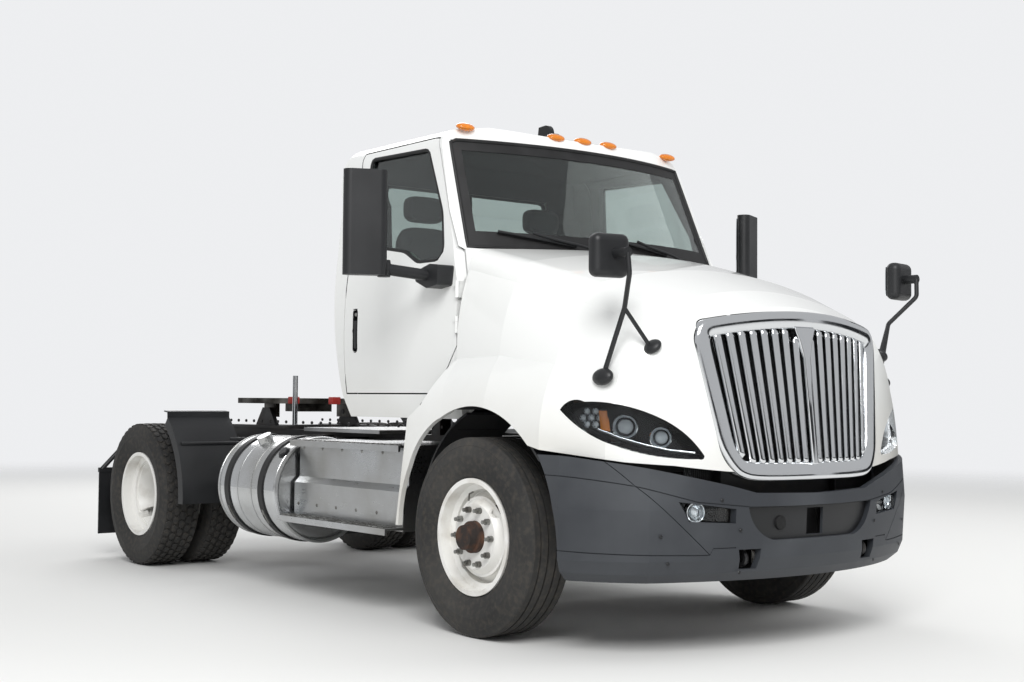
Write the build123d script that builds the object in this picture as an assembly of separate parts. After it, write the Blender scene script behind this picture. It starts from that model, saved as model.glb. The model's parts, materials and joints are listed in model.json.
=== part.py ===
from build123d import *
import math
import os

# Two-axle day-cab tractor unit for semi-trailers, in millimetres.
# X is across the vehicle (+X is its left, driver's side), the front faces -Y, Z is up.
# The origin is on the ground under the middle of the vehicle's length.

# Driving dimensions
WHEELBASE = 3970
FRONT_OVERHANG = 1270
REAR_OVERHANG = 900
LENGTH = FRONT_OVERHANG + WHEELBASE + REAR_OVERHANG
FRONT_AXLE = -LENGTH / 2 + FRONT_OVERHANG
REAR_AXLE = FRONT_AXLE + WHEELBASE
REAR_END = LENGTH / 2

# Wheels and tyres
TYRE_R = 508
TYRE_WIDTH = 285
RIM_R = 298
RIM_WIDTH = 235
BEAD_R = 284
FRONT_TYRE_X = 1060
REAR_DUAL_X = 925
DUAL_SPACING = 343
AXLE_Z = TYRE_R
STUD_CIRCLE_R = 142
STUDS = 10

# Steering
KINGPIN_X = 900
KINGPIN_R = 25
STEER_ARM = 220
TIE_ROD_Z = 400

# Frame rails
RAIL_OUT_X = 432
RAIL_TOP = 985
RAIL_DEPTH = 270
RAIL_FLANGE = 90
RAIL_WALL = 10
RAIL_FRONT = FRONT_AXLE - 1020
RAIL_REAR = REAR_END - 30

# Cab
CAB_FLOOR = 1100
CAB_WALL = 55
CAB_HALF = 1046
CAB_ROOF = 2790
FIREWALL = FRONT_AXLE + 240
PILLAR_X = 965
DOOR_FRONT = FRONT_AXLE + 325
DOOR_R = 1140
DOOR_GAP = 8
DOOR_BOTTOM = 1240
DOOR_TOP = 2676
DOOR_INNER_X = 820
DOOR_HINGE = (1052, FRONT_AXLE + 316)
HINGE_Z = (1590, 1780)
HINGE_R = 12
SCREEN_RAKE = 0.435
SCREEN_BOW = 315
SCREEN_FOOT = FRONT_AXLE + 190
COWL_Z = 2030

# Hood
HOOD_WALL = 16
HOOD_REAR = FRONT_AXLE + 295
HOOD_REAR_MIDDLE = FRONT_AXLE + 120
COWL_GAP = 10
HOOD_PIVOT = (FRONT_AXLE - 1138, 880)
HOOD_PIN_R = 10
RUN_FIT = 0.05
ARCH_R = 664
LINER_WALL = 12
LINER_END = 160

# Fifth wheel
PLATE_TOP = 1205
PLATE_THICK = 40
PLATE_PIVOT = (REAR_AXLE - 320, 1105)
KINGPIN_BORE_R = 25.6
PLATE_HALF = 455
PLATE_PIN_R = 20

os.makedirs("parts", exist_ok=True)
PARTS = {}


def fy(distance):
    """Y of a point that lies this far behind the front axle."""
    return FRONT_AXLE + distance


def outline(start, *steps):
    """Closed face from lines, given as an end point, and arcs, given as (middle, end)."""
    edges = []
    here = start
    for step in steps:
        if isinstance(step[0], tuple):
            middle, end = step
            edges.append(ThreePointArc(here, middle, end))
        else:
            end = step
            edges.append(Line(here, end))
        here = end
    if (Vector(*here) - Vector(*start)).length > 1e-6:
        edges.append(Line(here, start))
    return make_face(edges)


def along_x(face, x0, x1):
    """Extrudes a face drawn in (y, z) from x0 to x1."""
    return extrude(Plane.YZ.offset(x0) * face, x1 - x0)


def along_y(face, y0, y1):
    """Extrudes a face drawn in (x, z) from y0 to y1."""
    return extrude(Plane.XZ.offset(-y1) * face, y1 - y0)


def along_z(face, z0, z1):
    """Extrudes a face drawn in (x, y) from z0 to z1."""
    return extrude(Plane.XY.offset(z0) * face, z1 - z0)


def block(x0, x1, y0, y1, z0, z1):
    """Box between two corners."""
    size = (x1 - x0, y1 - y0, z1 - z0)
    return Pos((x0 + x1) / 2, (y0 + y1) / 2, (z0 + z1) / 2) * Box(*size)


def rod_x(x0, x1, y, z, r):
    """Round bar along X."""
    return Pos((x0 + x1) / 2, y, z) * Rot(0, 90, 0) * Cylinder(r, x1 - x0)


def rod_y(y0, y1, x, z, r):
    """Round bar along Y."""
    return Pos(x, (y0 + y1) / 2, z) * Rot(90, 0, 0) * Cylinder(r, y1 - y0)


def rod_z(z0, z1, x, y, r):
    """Round bar along Z."""
    return Pos(x, y, (z0 + z1) / 2) * Cylinder(r, z1 - z0)


def spun_x(face, y, z):
    """Turns a profile drawn in (radius, x) about the axle line through y, z."""
    turned = revolve(Plane.XY * face, axis=Axis.Y)
    return Pos(0, y, z) * Rot(0, 0, -90) * turned


def tube(points, r, bend):
    """Round tube along straight runs joined by arcs of one bend radius."""
    path = FilletPolyline(*points, radius=bend) if len(points) > 2 else Line(*points)
    section = Plane(origin=path @ 0, z_dir=path % 0) * Circle(r)
    return sweep(section, path=path)


def both_sides(shape):
    """A shape and its mirror image across the vehicle's middle."""
    return shape + mirror(shape, Plane.YZ)


def put(name, shape):
    """Keeps a node and writes its file."""
    PARTS[name] = shape
    export_step(shape, f"parts/{name}.step")


# Tyres and wheels: profiles are (radius, distance along the axle from the tyre's middle)
def tyre_at(x, y):
    half = TYRE_WIDTH / 2
    seat = RIM_WIDTH / 2 - 17
    face = outline(
        (BEAD_R, -seat),
        (RIM_R + 1, -seat - 4),
        ((TYRE_R - 115, -half), (TYRE_R - 26, -half + 12)),
        ((TYRE_R - 6, -half + 18), (TYRE_R, -half + 36)),
        (TYRE_R, half - 36),
        ((TYRE_R - 6, half - 18), (TYRE_R - 26, half - 12)),
        ((TYRE_R - 115, half), (RIM_R + 1, seat + 4)),
        (BEAD_R, seat),
        ((BEAD_R + 12, 0), (BEAD_R, -seat)),
    )
    return Pos(x, 0, 0) * spun_x(face, y, AXLE_Z)


# Steel disc wheel. side is +1 where the outer face looks to +X. The disc's face lies
# disc_at out from the wheel's middle.
RIM_SHEET = 10
DISC_THICK = 14
HUB_R = 108
HAND_HOLE_R = 40
HAND_HOLE_AT = 205


def rim_at(x, y, side, disc_at):
    half = RIM_WIDTH / 2
    seat = BEAD_R - 0.5
    barrel = outline(
        (seat - RIM_SHEET, -half),
        (RIM_R, -half),
        (RIM_R, -half + 12),
        (seat, -half + 16),
        (seat - 2, -half + 70),
        (seat - 34, -30),
        (seat - 34, 40),
        (seat - 2, half - 60),
        (seat, half - 16),
        (RIM_R, half - 12),
        (RIM_R, half),
        (seat - RIM_SHEET, half),
        (seat - RIM_SHEET - 4, half - 62),
        (seat - 34 - RIM_SHEET, 44),
        (seat - 34 - RIM_SHEET, -34),
        (seat - RIM_SHEET - 4, -half + 72),
    )
    lean = -1 if disc_at > 0 else 1
    edge_r = seat - 34 - RIM_SHEET + 1
    disc = outline(
        (HUB_R - 26, disc_at - DISC_THICK),
        (HUB_R - 26, disc_at),
        (STUD_CIRCLE_R + 24, disc_at),
        (edge_r - 8, lean * 10 + DISC_THICK / 2 + 4),
        (edge_r, lean * 10 + DISC_THICK / 2 + 4),
        (edge_r, lean * 10 - DISC_THICK / 2),
        (edge_r - 12, lean * 10 - DISC_THICK / 2),
        (STUD_CIRCLE_R + 20, disc_at - DISC_THICK),
    )
    whole = revolve(Plane.XY * barrel, axis=Axis.Y) + revolve(Plane.XY * disc, axis=Axis.Y)
    for turn in (0, 180):
        hole = Pos(HAND_HOLE_AT, disc_at / 2, 0) * Rot(90, 0, 0) * Cylinder(HAND_HOLE_R, 260)
        whole -= Rot(0, turn + 135, 0) * hole
    placed = Rot(0, 0, -90) * whole
    if side < 0:
        placed = mirror(placed, Plane.YZ)
    return Pos(x, y, AXLE_Z) * placed


def hub_profile(points):
    """Revolved hub from (radius, x) points, in outward direction."""
    face = outline(*points)
    return Rot(0, 0, -90) * revolve(Plane.XY * face, axis=Axis.Y)


# Front hub and drum: turns on the knuckle's spindle. Distances out from the tyre's middle.
FRONT_DISC_AT = 96
SPINDLE_R = 32


def front_hub(side):
    shape = hub_profile([
        (SPINDLE_R + RUN_FIT, -96), (205, -96), (205, 60), (STUD_CIRCLE_R + 16, 60),
        (STUD_CIRCLE_R + 16, FRONT_DISC_AT - DISC_THICK), (HUB_R - 27, FRONT_DISC_AT - DISC_THICK),
        (HUB_R - 27, FRONT_DISC_AT + 28), (68, FRONT_DISC_AT + 34), (62, FRONT_DISC_AT + 76),
        (0.0, FRONT_DISC_AT + 82), (0.0, FRONT_DISC_AT + 30), (SPINDLE_R + RUN_FIT, FRONT_DISC_AT + 30),
    ])
    for k in range(STUDS):
        a = 2 * math.pi * k / STUDS
        y = STUD_CIRCLE_R * math.cos(a)
        z = STUD_CIRCLE_R * math.sin(a)
        shape += rod_x(FRONT_DISC_AT - 20, FRONT_DISC_AT + 22, y, z, 16)
        shape += rod_x(FRONT_DISC_AT, FRONT_DISC_AT + 42, y, z, 10)
    return shape if side > 0 else mirror(shape, Plane.YZ)


for side, label in ((1, "left"), (-1, "right")):
    x = side * FRONT_TYRE_X
    put(f"front_tyre_{label}", tyre_at(x, FRONT_AXLE))
    put(f"front_wheel_{label}", rim_at(x, FRONT_AXLE, side, FRONT_DISC_AT)
        + Pos(x, FRONT_AXLE, AXLE_Z) * front_hub(side))

# Rear duals: the two discs meet at the middle of the pair
REAR_DISC_AT = DUAL_SPACING / 2
REAR_HUB_X = 880


def rear_hub(side):
    shape = hub_profile([
        (60 + RUN_FIT, REAR_HUB_X - 170), (205, REAR_HUB_X - 170), (205, REAR_HUB_X + 0),
        (STUD_CIRCLE_R + 16, REAR_HUB_X + 0), (STUD_CIRCLE_R + 16, REAR_DUAL_X - DISC_THICK),
        (HUB_R - 27, REAR_DUAL_X - DISC_THICK), (HUB_R - 27, REAR_DUAL_X + 90),
        (70, REAR_DUAL_X + 104), (0.0, REAR_DUAL_X + 104), (0.0, REAR_DUAL_X + 70),
        (60 + RUN_FIT, REAR_DUAL_X + 70),
    ])
    for k in range(STUDS):
        a = 2 * math.pi * k / STUDS
        y = STUD_CIRCLE_R * math.cos(a)
        z = STUD_CIRCLE_R * math.sin(a)
        shape += rod_x(REAR_DUAL_X - 20, REAR_DUAL_X + 38, y, z, 16)
        shape += rod_x(REAR_DUAL_X, REAR_DUAL_X + 62, y, z, 10)
    return shape if side > 0 else mirror(shape, Plane.YZ)


for side, label in ((1, "left"), (-1, "right")):
    inner = side * (REAR_DUAL_X - DUAL_SPACING / 2)
    outer = side * (REAR_DUAL_X + DUAL_SPACING / 2)
    pair = Compound(children=[tyre_at(inner, REAR_AXLE), tyre_at(outer, REAR_AXLE)])
    put(f"rear_tyres_{label}", pair)
    rims = rim_at(outer, REAR_AXLE, -side, REAR_DISC_AT) + rim_at(inner, REAR_AXLE, side, REAR_DISC_AT)
    put(f"rear_wheels_{label}", rims + Pos(0, REAR_AXLE, AXLE_Z) * rear_hub(side))

# Frame: two channel rails and crossmembers
rail_web_in = RAIL_OUT_X - RAIL_WALL
rail_face = outline(
    (RAIL_OUT_X, RAIL_TOP - RAIL_DEPTH), (RAIL_OUT_X, RAIL_TOP), (RAIL_OUT_X - RAIL_FLANGE, RAIL_TOP),
    (RAIL_OUT_X - RAIL_FLANGE, RAIL_TOP - RAIL_WALL), (rail_web_in, RAIL_TOP - RAIL_WALL),
    (rail_web_in, RAIL_TOP - RAIL_DEPTH + RAIL_WALL), (RAIL_OUT_X - RAIL_FLANGE,
    RAIL_TOP - RAIL_DEPTH + RAIL_WALL),
    (RAIL_OUT_X - RAIL_FLANGE, RAIL_TOP - RAIL_DEPTH),
)
frame = both_sides(along_y(rail_face, RAIL_FRONT, RAIL_REAR))
CROSSMEMBERS = [fy(-980), fy(1350), fy(2300), fy(3050), REAR_AXLE + 330, RAIL_REAR - 60]
for y in CROSSMEMBERS:
    web = block(-rail_web_in - 1, rail_web_in + 1, y - 6, y + 6, RAIL_TOP - RAIL_DEPTH + RAIL_WALL,
        RAIL_TOP - RAIL_WALL)
    foot = block(-rail_web_in - 1, rail_web_in + 1, y - 50, y + 50, RAIL_TOP - RAIL_DEPTH + RAIL_WALL,
        RAIL_TOP - RAIL_DEPTH + 24)
    head = block(-rail_web_in - 1, rail_web_in + 1, y - 50, y + 50, RAIL_TOP - RAIL_WALL - 14,
        RAIL_TOP - RAIL_WALL)
    frame += web + foot + head
put("frame", frame)

# Front axle: dropped I-beam with a boss at each kingpin
beam_z = AXLE_Z - 90
beam = block(-640, 640, FRONT_AXLE - 45, FRONT_AXLE + 45, beam_z - 50, beam_z - 32)
beam += block(-640, 640, FRONT_AXLE - 45, FRONT_AXLE + 45, beam_z + 32, beam_z + 50)
beam += block(-640, 640, FRONT_AXLE - 12, FRONT_AXLE + 12, beam_z - 50, beam_z + 50)
rise = outline((600, beam_z - 50), (640, beam_z - 50), (860, AXLE_Z - 55), (860, AXLE_Z + 55),
    (790, AXLE_Z + 55), (600, beam_z + 50))
beam += both_sides(along_y(rise, FRONT_AXLE - 36, FRONT_AXLE + 36))
beam += both_sides(rod_z(AXLE_Z - 55, AXLE_Z + 55, KINGPIN_X, FRONT_AXLE, 44)
                   + block(850, KINGPIN_X, FRONT_AXLE - 36, FRONT_AXLE + 36, AXLE_Z - 55, AXLE_Z + 55))
beam -= both_sides(rod_z(0, 2 * AXLE_Z, KINGPIN_X, FRONT_AXLE, KINGPIN_R + RUN_FIT))
SPRING_X = 400
beam += both_sides(block(SPRING_X - 45, SPRING_X + 45, FRONT_AXLE - 60, FRONT_AXLE + 60, beam_z + 50,
    beam_z + 70))
put("front_axle", beam)

# Front leaf springs with their hangers
SPRING_HALF = 640
spring_seat = beam_z + 70


def front_spring():
    leaf = outline((FRONT_AXLE - SPRING_HALF, spring_seat + 120),
                   ((FRONT_AXLE, spring_seat), (FRONT_AXLE + SPRING_HALF, spring_seat + 120)),
                   (FRONT_AXLE + SPRING_HALF, spring_seat + 142),
                   ((FRONT_AXLE, spring_seat + 22), (FRONT_AXLE - SPRING_HALF, spring_seat + 142)))
    helper = block(SPRING_X - 38, SPRING_X + 38, FRONT_AXLE - 300, FRONT_AXLE + 300, spring_seat + 44,
        spring_seat + 66)
    shape = along_x(leaf, SPRING_X - 38, SPRING_X + 38) + helper
    shape += block(SPRING_X - 38, SPRING_X + 38, FRONT_AXLE - 60, FRONT_AXLE + 60, spring_seat,
        spring_seat + 60)
    for y in (FRONT_AXLE - SPRING_HALF, FRONT_AXLE + SPRING_HALF):
        shape += block(SPRING_X - 30, SPRING_X + 30, y - 40, y + 40, spring_seat + 110,
            RAIL_TOP - RAIL_DEPTH)
    return shape


put("front_springs", both_sides(front_spring()))


# Steering knuckles: kingpin, spindle and steering arm
def knuckle(side):
    y = FRONT_AXLE
    shape = rod_z(AXLE_Z - 105, AXLE_Z + 105, KINGPIN_X, y, KINGPIN_R)
    for z0, z1 in ((AXLE_Z - 105, AXLE_Z - 56), (AXLE_Z + 56, AXLE_Z + 105)):
        shape += rod_z(z0, z1, KINGPIN_X, y, 42)
        shape += block(KINGPIN_X, KINGPIN_X + 56, y - 40, y + 40, z0, z1)
    shape += block(KINGPIN_X + 46, KINGPIN_X + 56, y - 60, y + 60, AXLE_Z - 105, AXLE_Z + 105)
    shape += rod_x(KINGPIN_X + 50, FRONT_TYRE_X + FRONT_DISC_AT + 24, y, AXLE_Z, SPINDLE_R)
    arm = outline((KINGPIN_X - 30, y - 5), (KINGPIN_X + 30, y - 5), (KINGPIN_X + 18, y + STEER_ARM),
                  ((KINGPIN_X, y + STEER_ARM + 18), (KINGPIN_X - 18, y + STEER_ARM)))
    shape += along_z(arm, TIE_ROD_Z, TIE_ROD_Z + 26)
    shape += rod_z(TIE_ROD_Z + 10, AXLE_Z - 60, KINGPIN_X, y, 30)
    shape += rod_z(TIE_ROD_Z - 46, TIE_ROD_Z + 20, KINGPIN_X, y + STEER_ARM, 14)
    return shape if side > 0 else mirror(shape, Plane.YZ)


put("knuckle_left", knuckle(1))
put("knuckle_right", knuckle(-1))

# Tie rod with an eye at each end
tie_x = KINGPIN_X
tie_y = FRONT_AXLE + STEER_ARM
tie_z = TIE_ROD_Z - 24
tie_rod = rod_x(-tie_x + 20, tie_x - 20, tie_y, tie_z, 18)
tie_rod += both_sides(rod_z(tie_z - 20, tie_z + 20, tie_x, tie_y, 32))
tie_rod -= both_sides(rod_z(tie_z - 30, tie_z + 30, tie_x, tie_y, 14 + RUN_FIT))
put("tie_rod", tie_rod)

# Rear axle: banjo housing, tubes and the stubs that carry the hubs
rear = both_sides(rod_x(0, REAR_HUB_X - 180, REAR_AXLE, AXLE_Z, 75) + rod_x(600, REAR_DUAL_X + 60,
    REAR_AXLE, AXLE_Z, 60))
rear += Pos(0, REAR_AXLE, AXLE_Z) * Rot(90, 0, 0) * Cylinder(215, 190)
rear += Pos(0, REAR_AXLE + 95, AXLE_Z) * scale(Sphere(190), (1, 0.45, 1))
rear += rod_y(REAR_AXLE - 330, REAR_AXLE - 60, 0, AXLE_Z, 110)
put("rear_axle", rear)

# Rear air suspension: main support beam, air spring and hanger on each side
AIR_SPRING_X = 514
AIR_SPRING_R = 78


def rear_suspension():
    hanger = block(RAIL_OUT_X, RAIL_OUT_X + 100, REAR_AXLE - 690, REAR_AXLE - 540, 520, 860)
    arm = outline((REAR_AXLE - 650, 560), (REAR_AXLE - 650, 640), (REAR_AXLE, AXLE_Z + 150),
        (REAR_AXLE + 420, AXLE_Z + 60),
                  (REAR_AXLE + 420, AXLE_Z + 20), (REAR_AXLE, AXLE_Z + 76))
    shape = hanger + along_x(arm, RAIL_OUT_X + 5, RAIL_OUT_X + 95)
    shape += rod_z(AXLE_Z + 50, RAIL_TOP - 60, AIR_SPRING_X, REAR_AXLE + 320, AIR_SPRING_R)
    shape += block(RAIL_OUT_X, AIR_SPRING_X + AIR_SPRING_R, REAR_AXLE + 240, REAR_AXLE + 400,
        RAIL_TOP - 70, RAIL_TOP - 50)
    return shape


put("rear_suspension", both_sides(rear_suspension()))

# Engine, gearbox and propeller shaft
SHAFT_Z = 640
power = block(-330, 330, fy(-740), fy(190), 700, 1560)
power += block(-250, 250, fy(190), fy(420), 560, 1040)
for y in (-500, 60):
    power += both_sides(block(320, RAIL_OUT_X - RAIL_WALL, fy(y - 60), fy(y + 60), 740, 800))
power += Pos(0, fy(700), SHAFT_Z + 60) * Rot(90, 0, 0) * Cone(180, 240, 562)
shaft_from = Vector(0, fy(960), SHAFT_Z)
shaft_to = Vector(0, REAR_AXLE - 336, AXLE_Z)
power += tube([tuple(shaft_from), tuple(shaft_to)], 55, 10)
put("powertrain", power)
RADIATOR_Y = (-924, -814)
put("radiator", block(-430, 430, fy(RADIATOR_Y[0]), fy(RADIATOR_Y[1]), RAIL_TOP, 1500)
    + block(-330, 330, fy(RADIATOR_Y[0]), fy(RADIATOR_Y[1]), 700, RAIL_TOP + 1))


# Bumper: a curved skin with a lower valance
def bumper_plan(inset):
    """Plan outline of the bumper, this far in from its widest line."""
    i = inset
    half = 1200 - i
    return outline(
        (half, fy(-440)), (half, fy(-700)),
        ((1112 - i, fy(-915 + i)), (950 - i * 0.7, fy(-1065 + i))),
        ((0, fy(-FRONT_OVERHANG + i)), (-950 + i * 0.7, fy(-1065 + i))),
        ((-1112 + i, fy(-915 + i)), (-half, fy(-700))),
        (-half, fy(-440)),
    )


BUMPER_LEVELS = [(355, 75), (400, 30), (462, 10), (700, 0), (980, 14)]
BUMPER_WALL = 34


def bumper_form(extra):
    faces = [Plane.XY.offset(z) * bumper_plan(i + extra) for z, i in BUMPER_LEVELS]
    return loft(faces, ruled=True)


BUMPER_TOP = [(0, 762), (400, 772), (560, 812), (900, 884), (1130, 930), (1250, 962)]
above = outline(*[(x, z) for x, z in BUMPER_TOP], (1250, 1100), (-1250, 1100),
    *[(-x, z) for x, z in reversed(BUMPER_TOP[1:])])
bumper_inner = bumper_form(BUMPER_WALL)
bumper = bumper_form(0) - bumper_inner
bumper -= along_y(above, fy(-1400), fy(-300))
bumper -= both_sides(rod_x(700, 1300, FRONT_AXLE, AXLE_Z, ARCH_R + 26))
bumper -= block(-1300, 1300, fy(-560), fy(-300), 300, 1100) - both_sides(block(1100, 1300, fy(-560),
    fy(-430), 300, 1100))
recess = outline((-455, 706), (455, 706), ((400, 600), (290, 545)), (-290, 545), ((-400, 600), (-455, 706)))
bumper -= along_y(recess, fy(-1400), fy(-1100))
back_plate = along_y(recess, fy(-1400), fy(-1000)) & (bumper_form(26) - bumper_form(BUMPER_WALL + 8))
bumper += back_plate - along_y(outline((-60, 560), (60, 560), (60, 690), (-60, 690)), fy(-1400), fy(-1000))
fog_hole = outline((525, 700), (815, 738), (765, 645), (525, 632))
bumper -= both_sides(along_y(fog_hole, fy(-1400), fy(-1000)))
tow_hole = outline((376, 508), (504, 508), (490, 413), (390, 413))
bumper -= both_sides(along_y(tow_hole, fy(-1400), fy(-1000)))
BAND_EDGE = [(1250, 862), (1000, 811), (722, 735), (441, 708), (0, 700)]
CORNER_SEAM = [(1124, 958), (1000, 811), (700, 530), (656, 488)]
LOWER_SEAM = [(1250, 502), (720, 488), (656, 488), (640, 518), (520, 518)]
GROOVE = 5


def bumper_groove(line):
    """A groove along a line seen from the front, cut into the bumper's skin."""
    low = [(x, z - GROOVE / 2) for x, z in line]
    high = [(x, z + GROOVE / 2) for x, z in reversed(line)]
    strip = along_y(outline(*low, *high), fy(-1400), fy(-300))
    return strip & (bumper_form(-4) - bumper_form(GROOVE))


bumper -= both_sides(bumper_groove(BAND_EDGE))
bumper -= both_sides(bumper_groove(LOWER_SEAM))
bumper -= both_sides(bumper_groove(CORNER_SEAM))
put("bumper", bumper)
bracket = block(RAIL_OUT_X, RAIL_OUT_X + 14, fy(-1300), RAIL_FRONT + 220, 500, 742)
bracket = bracket & bumper_form(BUMPER_WALL + 0.3)
bracket -= along_y(recess, fy(-1400), fy(-1000)) - bumper_form(BUMPER_WALL + 8.3)
put("bumper_brackets", both_sides(bracket))
fog_back = along_y(outline((505, 712), (835, 756), (785, 630), (505, 616)), fy(-1400), fy(-900))
fog_back &= bumper_form(BUMPER_WALL + 0.3) - bumper_form(BUMPER_WALL + 9)
put("fog_lamps", both_sides(fog_back + rod_y(fy(-1150), fy(-1112), 712, 686, 36)))


# Hood: sections across the vehicle, from the cab to the nose. Columns: distance behind
# the axle, then (half width, height) of the lower edge, the flare's middle and top,
# the side's middle, the shoulder's start, middle and end, and the crown's height.
HOOD_SECTIONS = [
    (295, (1175, 1060), (1150, 1262), (1064, 1420), (1050, 1680), (1004, 1905), (975, 1990), (895, 2030),
    2072),
    (-100, (1190, 1060), (1168, 1262), (1085, 1430), (1052, 1620), (975, 1810), (940, 1885), (855, 1930),
    2008),
    (-550, (1190, 968), (1172, 1180), (1090, 1380), (1030, 1530), (920, 1690), (872, 1755), (780, 1800),
    1898),
    (-900, (1080, 932), (1066, 1100), (1005, 1290), (945, 1425), (825, 1572), (775, 1622), (690, 1664),
    1772),
    (-1080, (938, 904), (925, 1050), (872, 1228), (818, 1365), (728, 1480), (686, 1525), (606, 1566), 1684),
    (-1275, (650, 845), (640, 980), (612, 1130), (590, 1250), (556, 1370), (532, 1412), (470, 1450), 1556),
]


def hood_section(row, t, low):
    """One section, t inside the skin. low moves the lower edge down."""
    distance, edge, flare, flare_top, side, start, middle, end, crown = row
    right = [
        (edge[0] - t, edge[1] - low), (flare[0] - t, flare[1]), (flare_top[0] - t, flare_top[1] - t * 0.4),
        (side[0] - t, side[1] - t * 0.4), (start[0] - t, start[1] - t * 0.5),
        (middle[0] - t * 0.8, middle[1] - t * 0.8), (end[0] - t * 0.4, end[1] - t), (0, crown - t),
    ]
    b, f, g, m, s, k, u, top = right
    left = [(-x, z) for x, z in right]
    face = outline(
        b, (f, g), (m, s), (k, u), (top, left[6]), (left[5], left[4]), (left[3], left[2]),
        (left[1], left[0]),
    )
    return Plane.XZ.offset(-fy(distance)) * face


def hood_form(t, low=0, rear=0):
    """The hood's body, t inside its skin."""
    rows = list(HOOD_SECTIONS)
    faces = [hood_section(row, t, low) for row in rows]
    if rear:
        faces.insert(0, hood_section((rows[0][0] + rear, *rows[0][1:]), t, low))
    return loft(faces, ruled=True)


# The nose leans back: a curved front drawn in plan and swept up along the lean
NOSE_LEAN = 0.104
NOSE_Z = 700


def nose(t):
    y0 = fy(-1266 + t)
    plan = outline(
        (1300, y0 + 460), ((720, y0 + 130), (0, y0)), ((-720, y0 + 130), (-1300, y0 + 460)),
        (-1300, fy(900)), (1300, fy(900)),
    )
    rise = 1500
    return Solid.extrude((Plane.XY.offset(NOSE_Z) * plan).face(), Vector(0, NOSE_LEAN * rise, rise))


nose_outer = nose(0)
hood_outer = hood_form(0) & nose_outer
hood_inner = hood_form(HOOD_WALL, low=60, rear=60) & nose(HOOD_WALL * 4)
arch_cut = both_sides(rod_x(1000, 1300, FRONT_AXLE, AXLE_Z, ARCH_R))

GRILLE_BAND = 92


def grille_outline(g):
    """Front outline of the surround, g inside its outer edge."""
    return outline(
        (-400 + g, 826 + g * 0.9), (400 - g, 826 + g * 0.9),
        ((524 - g, 884 + g * 0.7), (580 - g, 985 + g * 0.3)),
        (668 - g, 1470 - g * 0.3),
        ((650 - g * 1.1, 1562 - g), (575 - g, 1604 - g * 1.3)),
        ((0, 1656 - g * 1.5), (-575 + g, 1604 - g * 1.3)),
        ((-650 + g * 1.1, 1562 - g), (-668 + g, 1470 - g * 0.3)),
        (-580 + g, 985 + g * 0.3),
        ((-524 + g, 884 + g * 0.7), (-400 + g, 826 + g * 0.9)),
    )


grille_zone = along_y(grille_outline(0), fy(-1500), fy(-1000))
skirt_profile = outline(
    (1062, 1425), ((1150, 1262), (1178, 1060)), (1180, 500), (1152, 500), (1150, 1050),
    ((1125, 1240), (1062, 1375)),
)
skirt_side = outline(
    (fy(200), 1425), (fy(303), 1408), (fy(474), 1176), (fy(590), 1100), (fy(690), 520), (fy(598), 520),
    ((fy(570), 850), (fy(200), 1130)),
)
skirt = along_y(skirt_profile, fy(200), fy(700)) & along_x(skirt_side, 1000, 1300)

lamp_plane = Plane(origin=(0, FRONT_AXLE, 0), x_dir=(0.64, 0.77, 0), z_dir=(0.77, -0.64, 0))
lamp_face = outline(
    (232, 1160), ((196, 1197), (110, 1200)), ((-70, 1187), (-250, 1126)), ((-370, 1045), (-448, 950)),
    ((-444, 936), (-425, 934)), ((-235, 948), (-45, 998)), ((105, 1062), (232, 1160)),
)
lamp_prism = extrude(lamp_plane * lamp_face, 2400)
lamp_zone = lamp_prism & block(0, 1300, fy(-1400), fy(-500), 800, 1300)

def hood_rear_zone(side, gap):
    """Space over the cowl, behind (side +1) or before (side -1) the hood's curved rear edge."""
    reach = fy(700) if side > 0 else fy(-300)
    edge = outline(
        (-1060, HOOD_REAR + gap), ((0, HOOD_REAR_MIDDLE + gap), (1060, HOOD_REAR + gap)),
        (1060, reach), (-1060, reach),
    )
    return along_z(edge, 1450, 2200)


hood = hood_outer - hood_inner - hood_rear_zone(1, 0)
hood += both_sides(skirt)
hood -= arch_cut
hood -= grille_zone
hood -= both_sides(lamp_zone)
put("hood", hood)
put("headlamps", both_sides(hood_outer & lamp_zone & (hood_form(1) - (hood_form(70, low=60) & nose(90)))))

# Grille: chrome surround and upright bars
surround = along_y(grille_outline(1), fy(-1500), fy(-1000)) & (nose(-14) - nose(56))
surround -= along_y(grille_outline(GRILLE_BAND), fy(-1500), fy(-1000))
def grille_spine(g):
    """Centre bar of the grille with its wider head, grown by g."""
    face = outline((-20 - g, 870), (20 + g, 870), (20 + g, 1440), (78 + g, 1600), (-78 - g, 1600),
        (-20 - g, 1440))
    return along_y(face, fy(-1500), fy(-1000))


surround += grille_spine(0) & (nose(-8) - nose(40)) & along_y(grille_outline(50), fy(-1500), fy(-1000))
lug = rod_x(300, 360, HOOD_PIVOT[0], HOOD_PIVOT[1], 18)
lug += block(300, 360, fy(-1215), HOOD_PIVOT[0], HOOD_PIVOT[1] - 24, HOOD_PIVOT[1] + 2)
surround += both_sides(lug)
surround -= both_sides(rod_x(200, 400, HOOD_PIVOT[0], HOOD_PIVOT[1], HOOD_PIN_R + RUN_FIT))
put("grille_surround", surround)
bars = None
BARS_A_SIDE = 8
zone = along_y(grille_outline(GRILLE_BAND + 0.6), fy(-1500), fy(-1000)) & (nose(2) - nose(44))
zone -= grille_spine(0.3)
for k in range(BARS_A_SIDE):
    low_x = 56 + k * 52
    high_x = 60 + k * 63
    bar = outline((low_x - 11, 860), (low_x + 11, 860), (high_x + 14, 1620), (high_x - 14, 1620))
    piece = both_sides(along_y(bar, fy(-1500), fy(-1000)) & zone)
    bars = piece if bars is None else bars + piece
put("grille_bars", bars)


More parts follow.
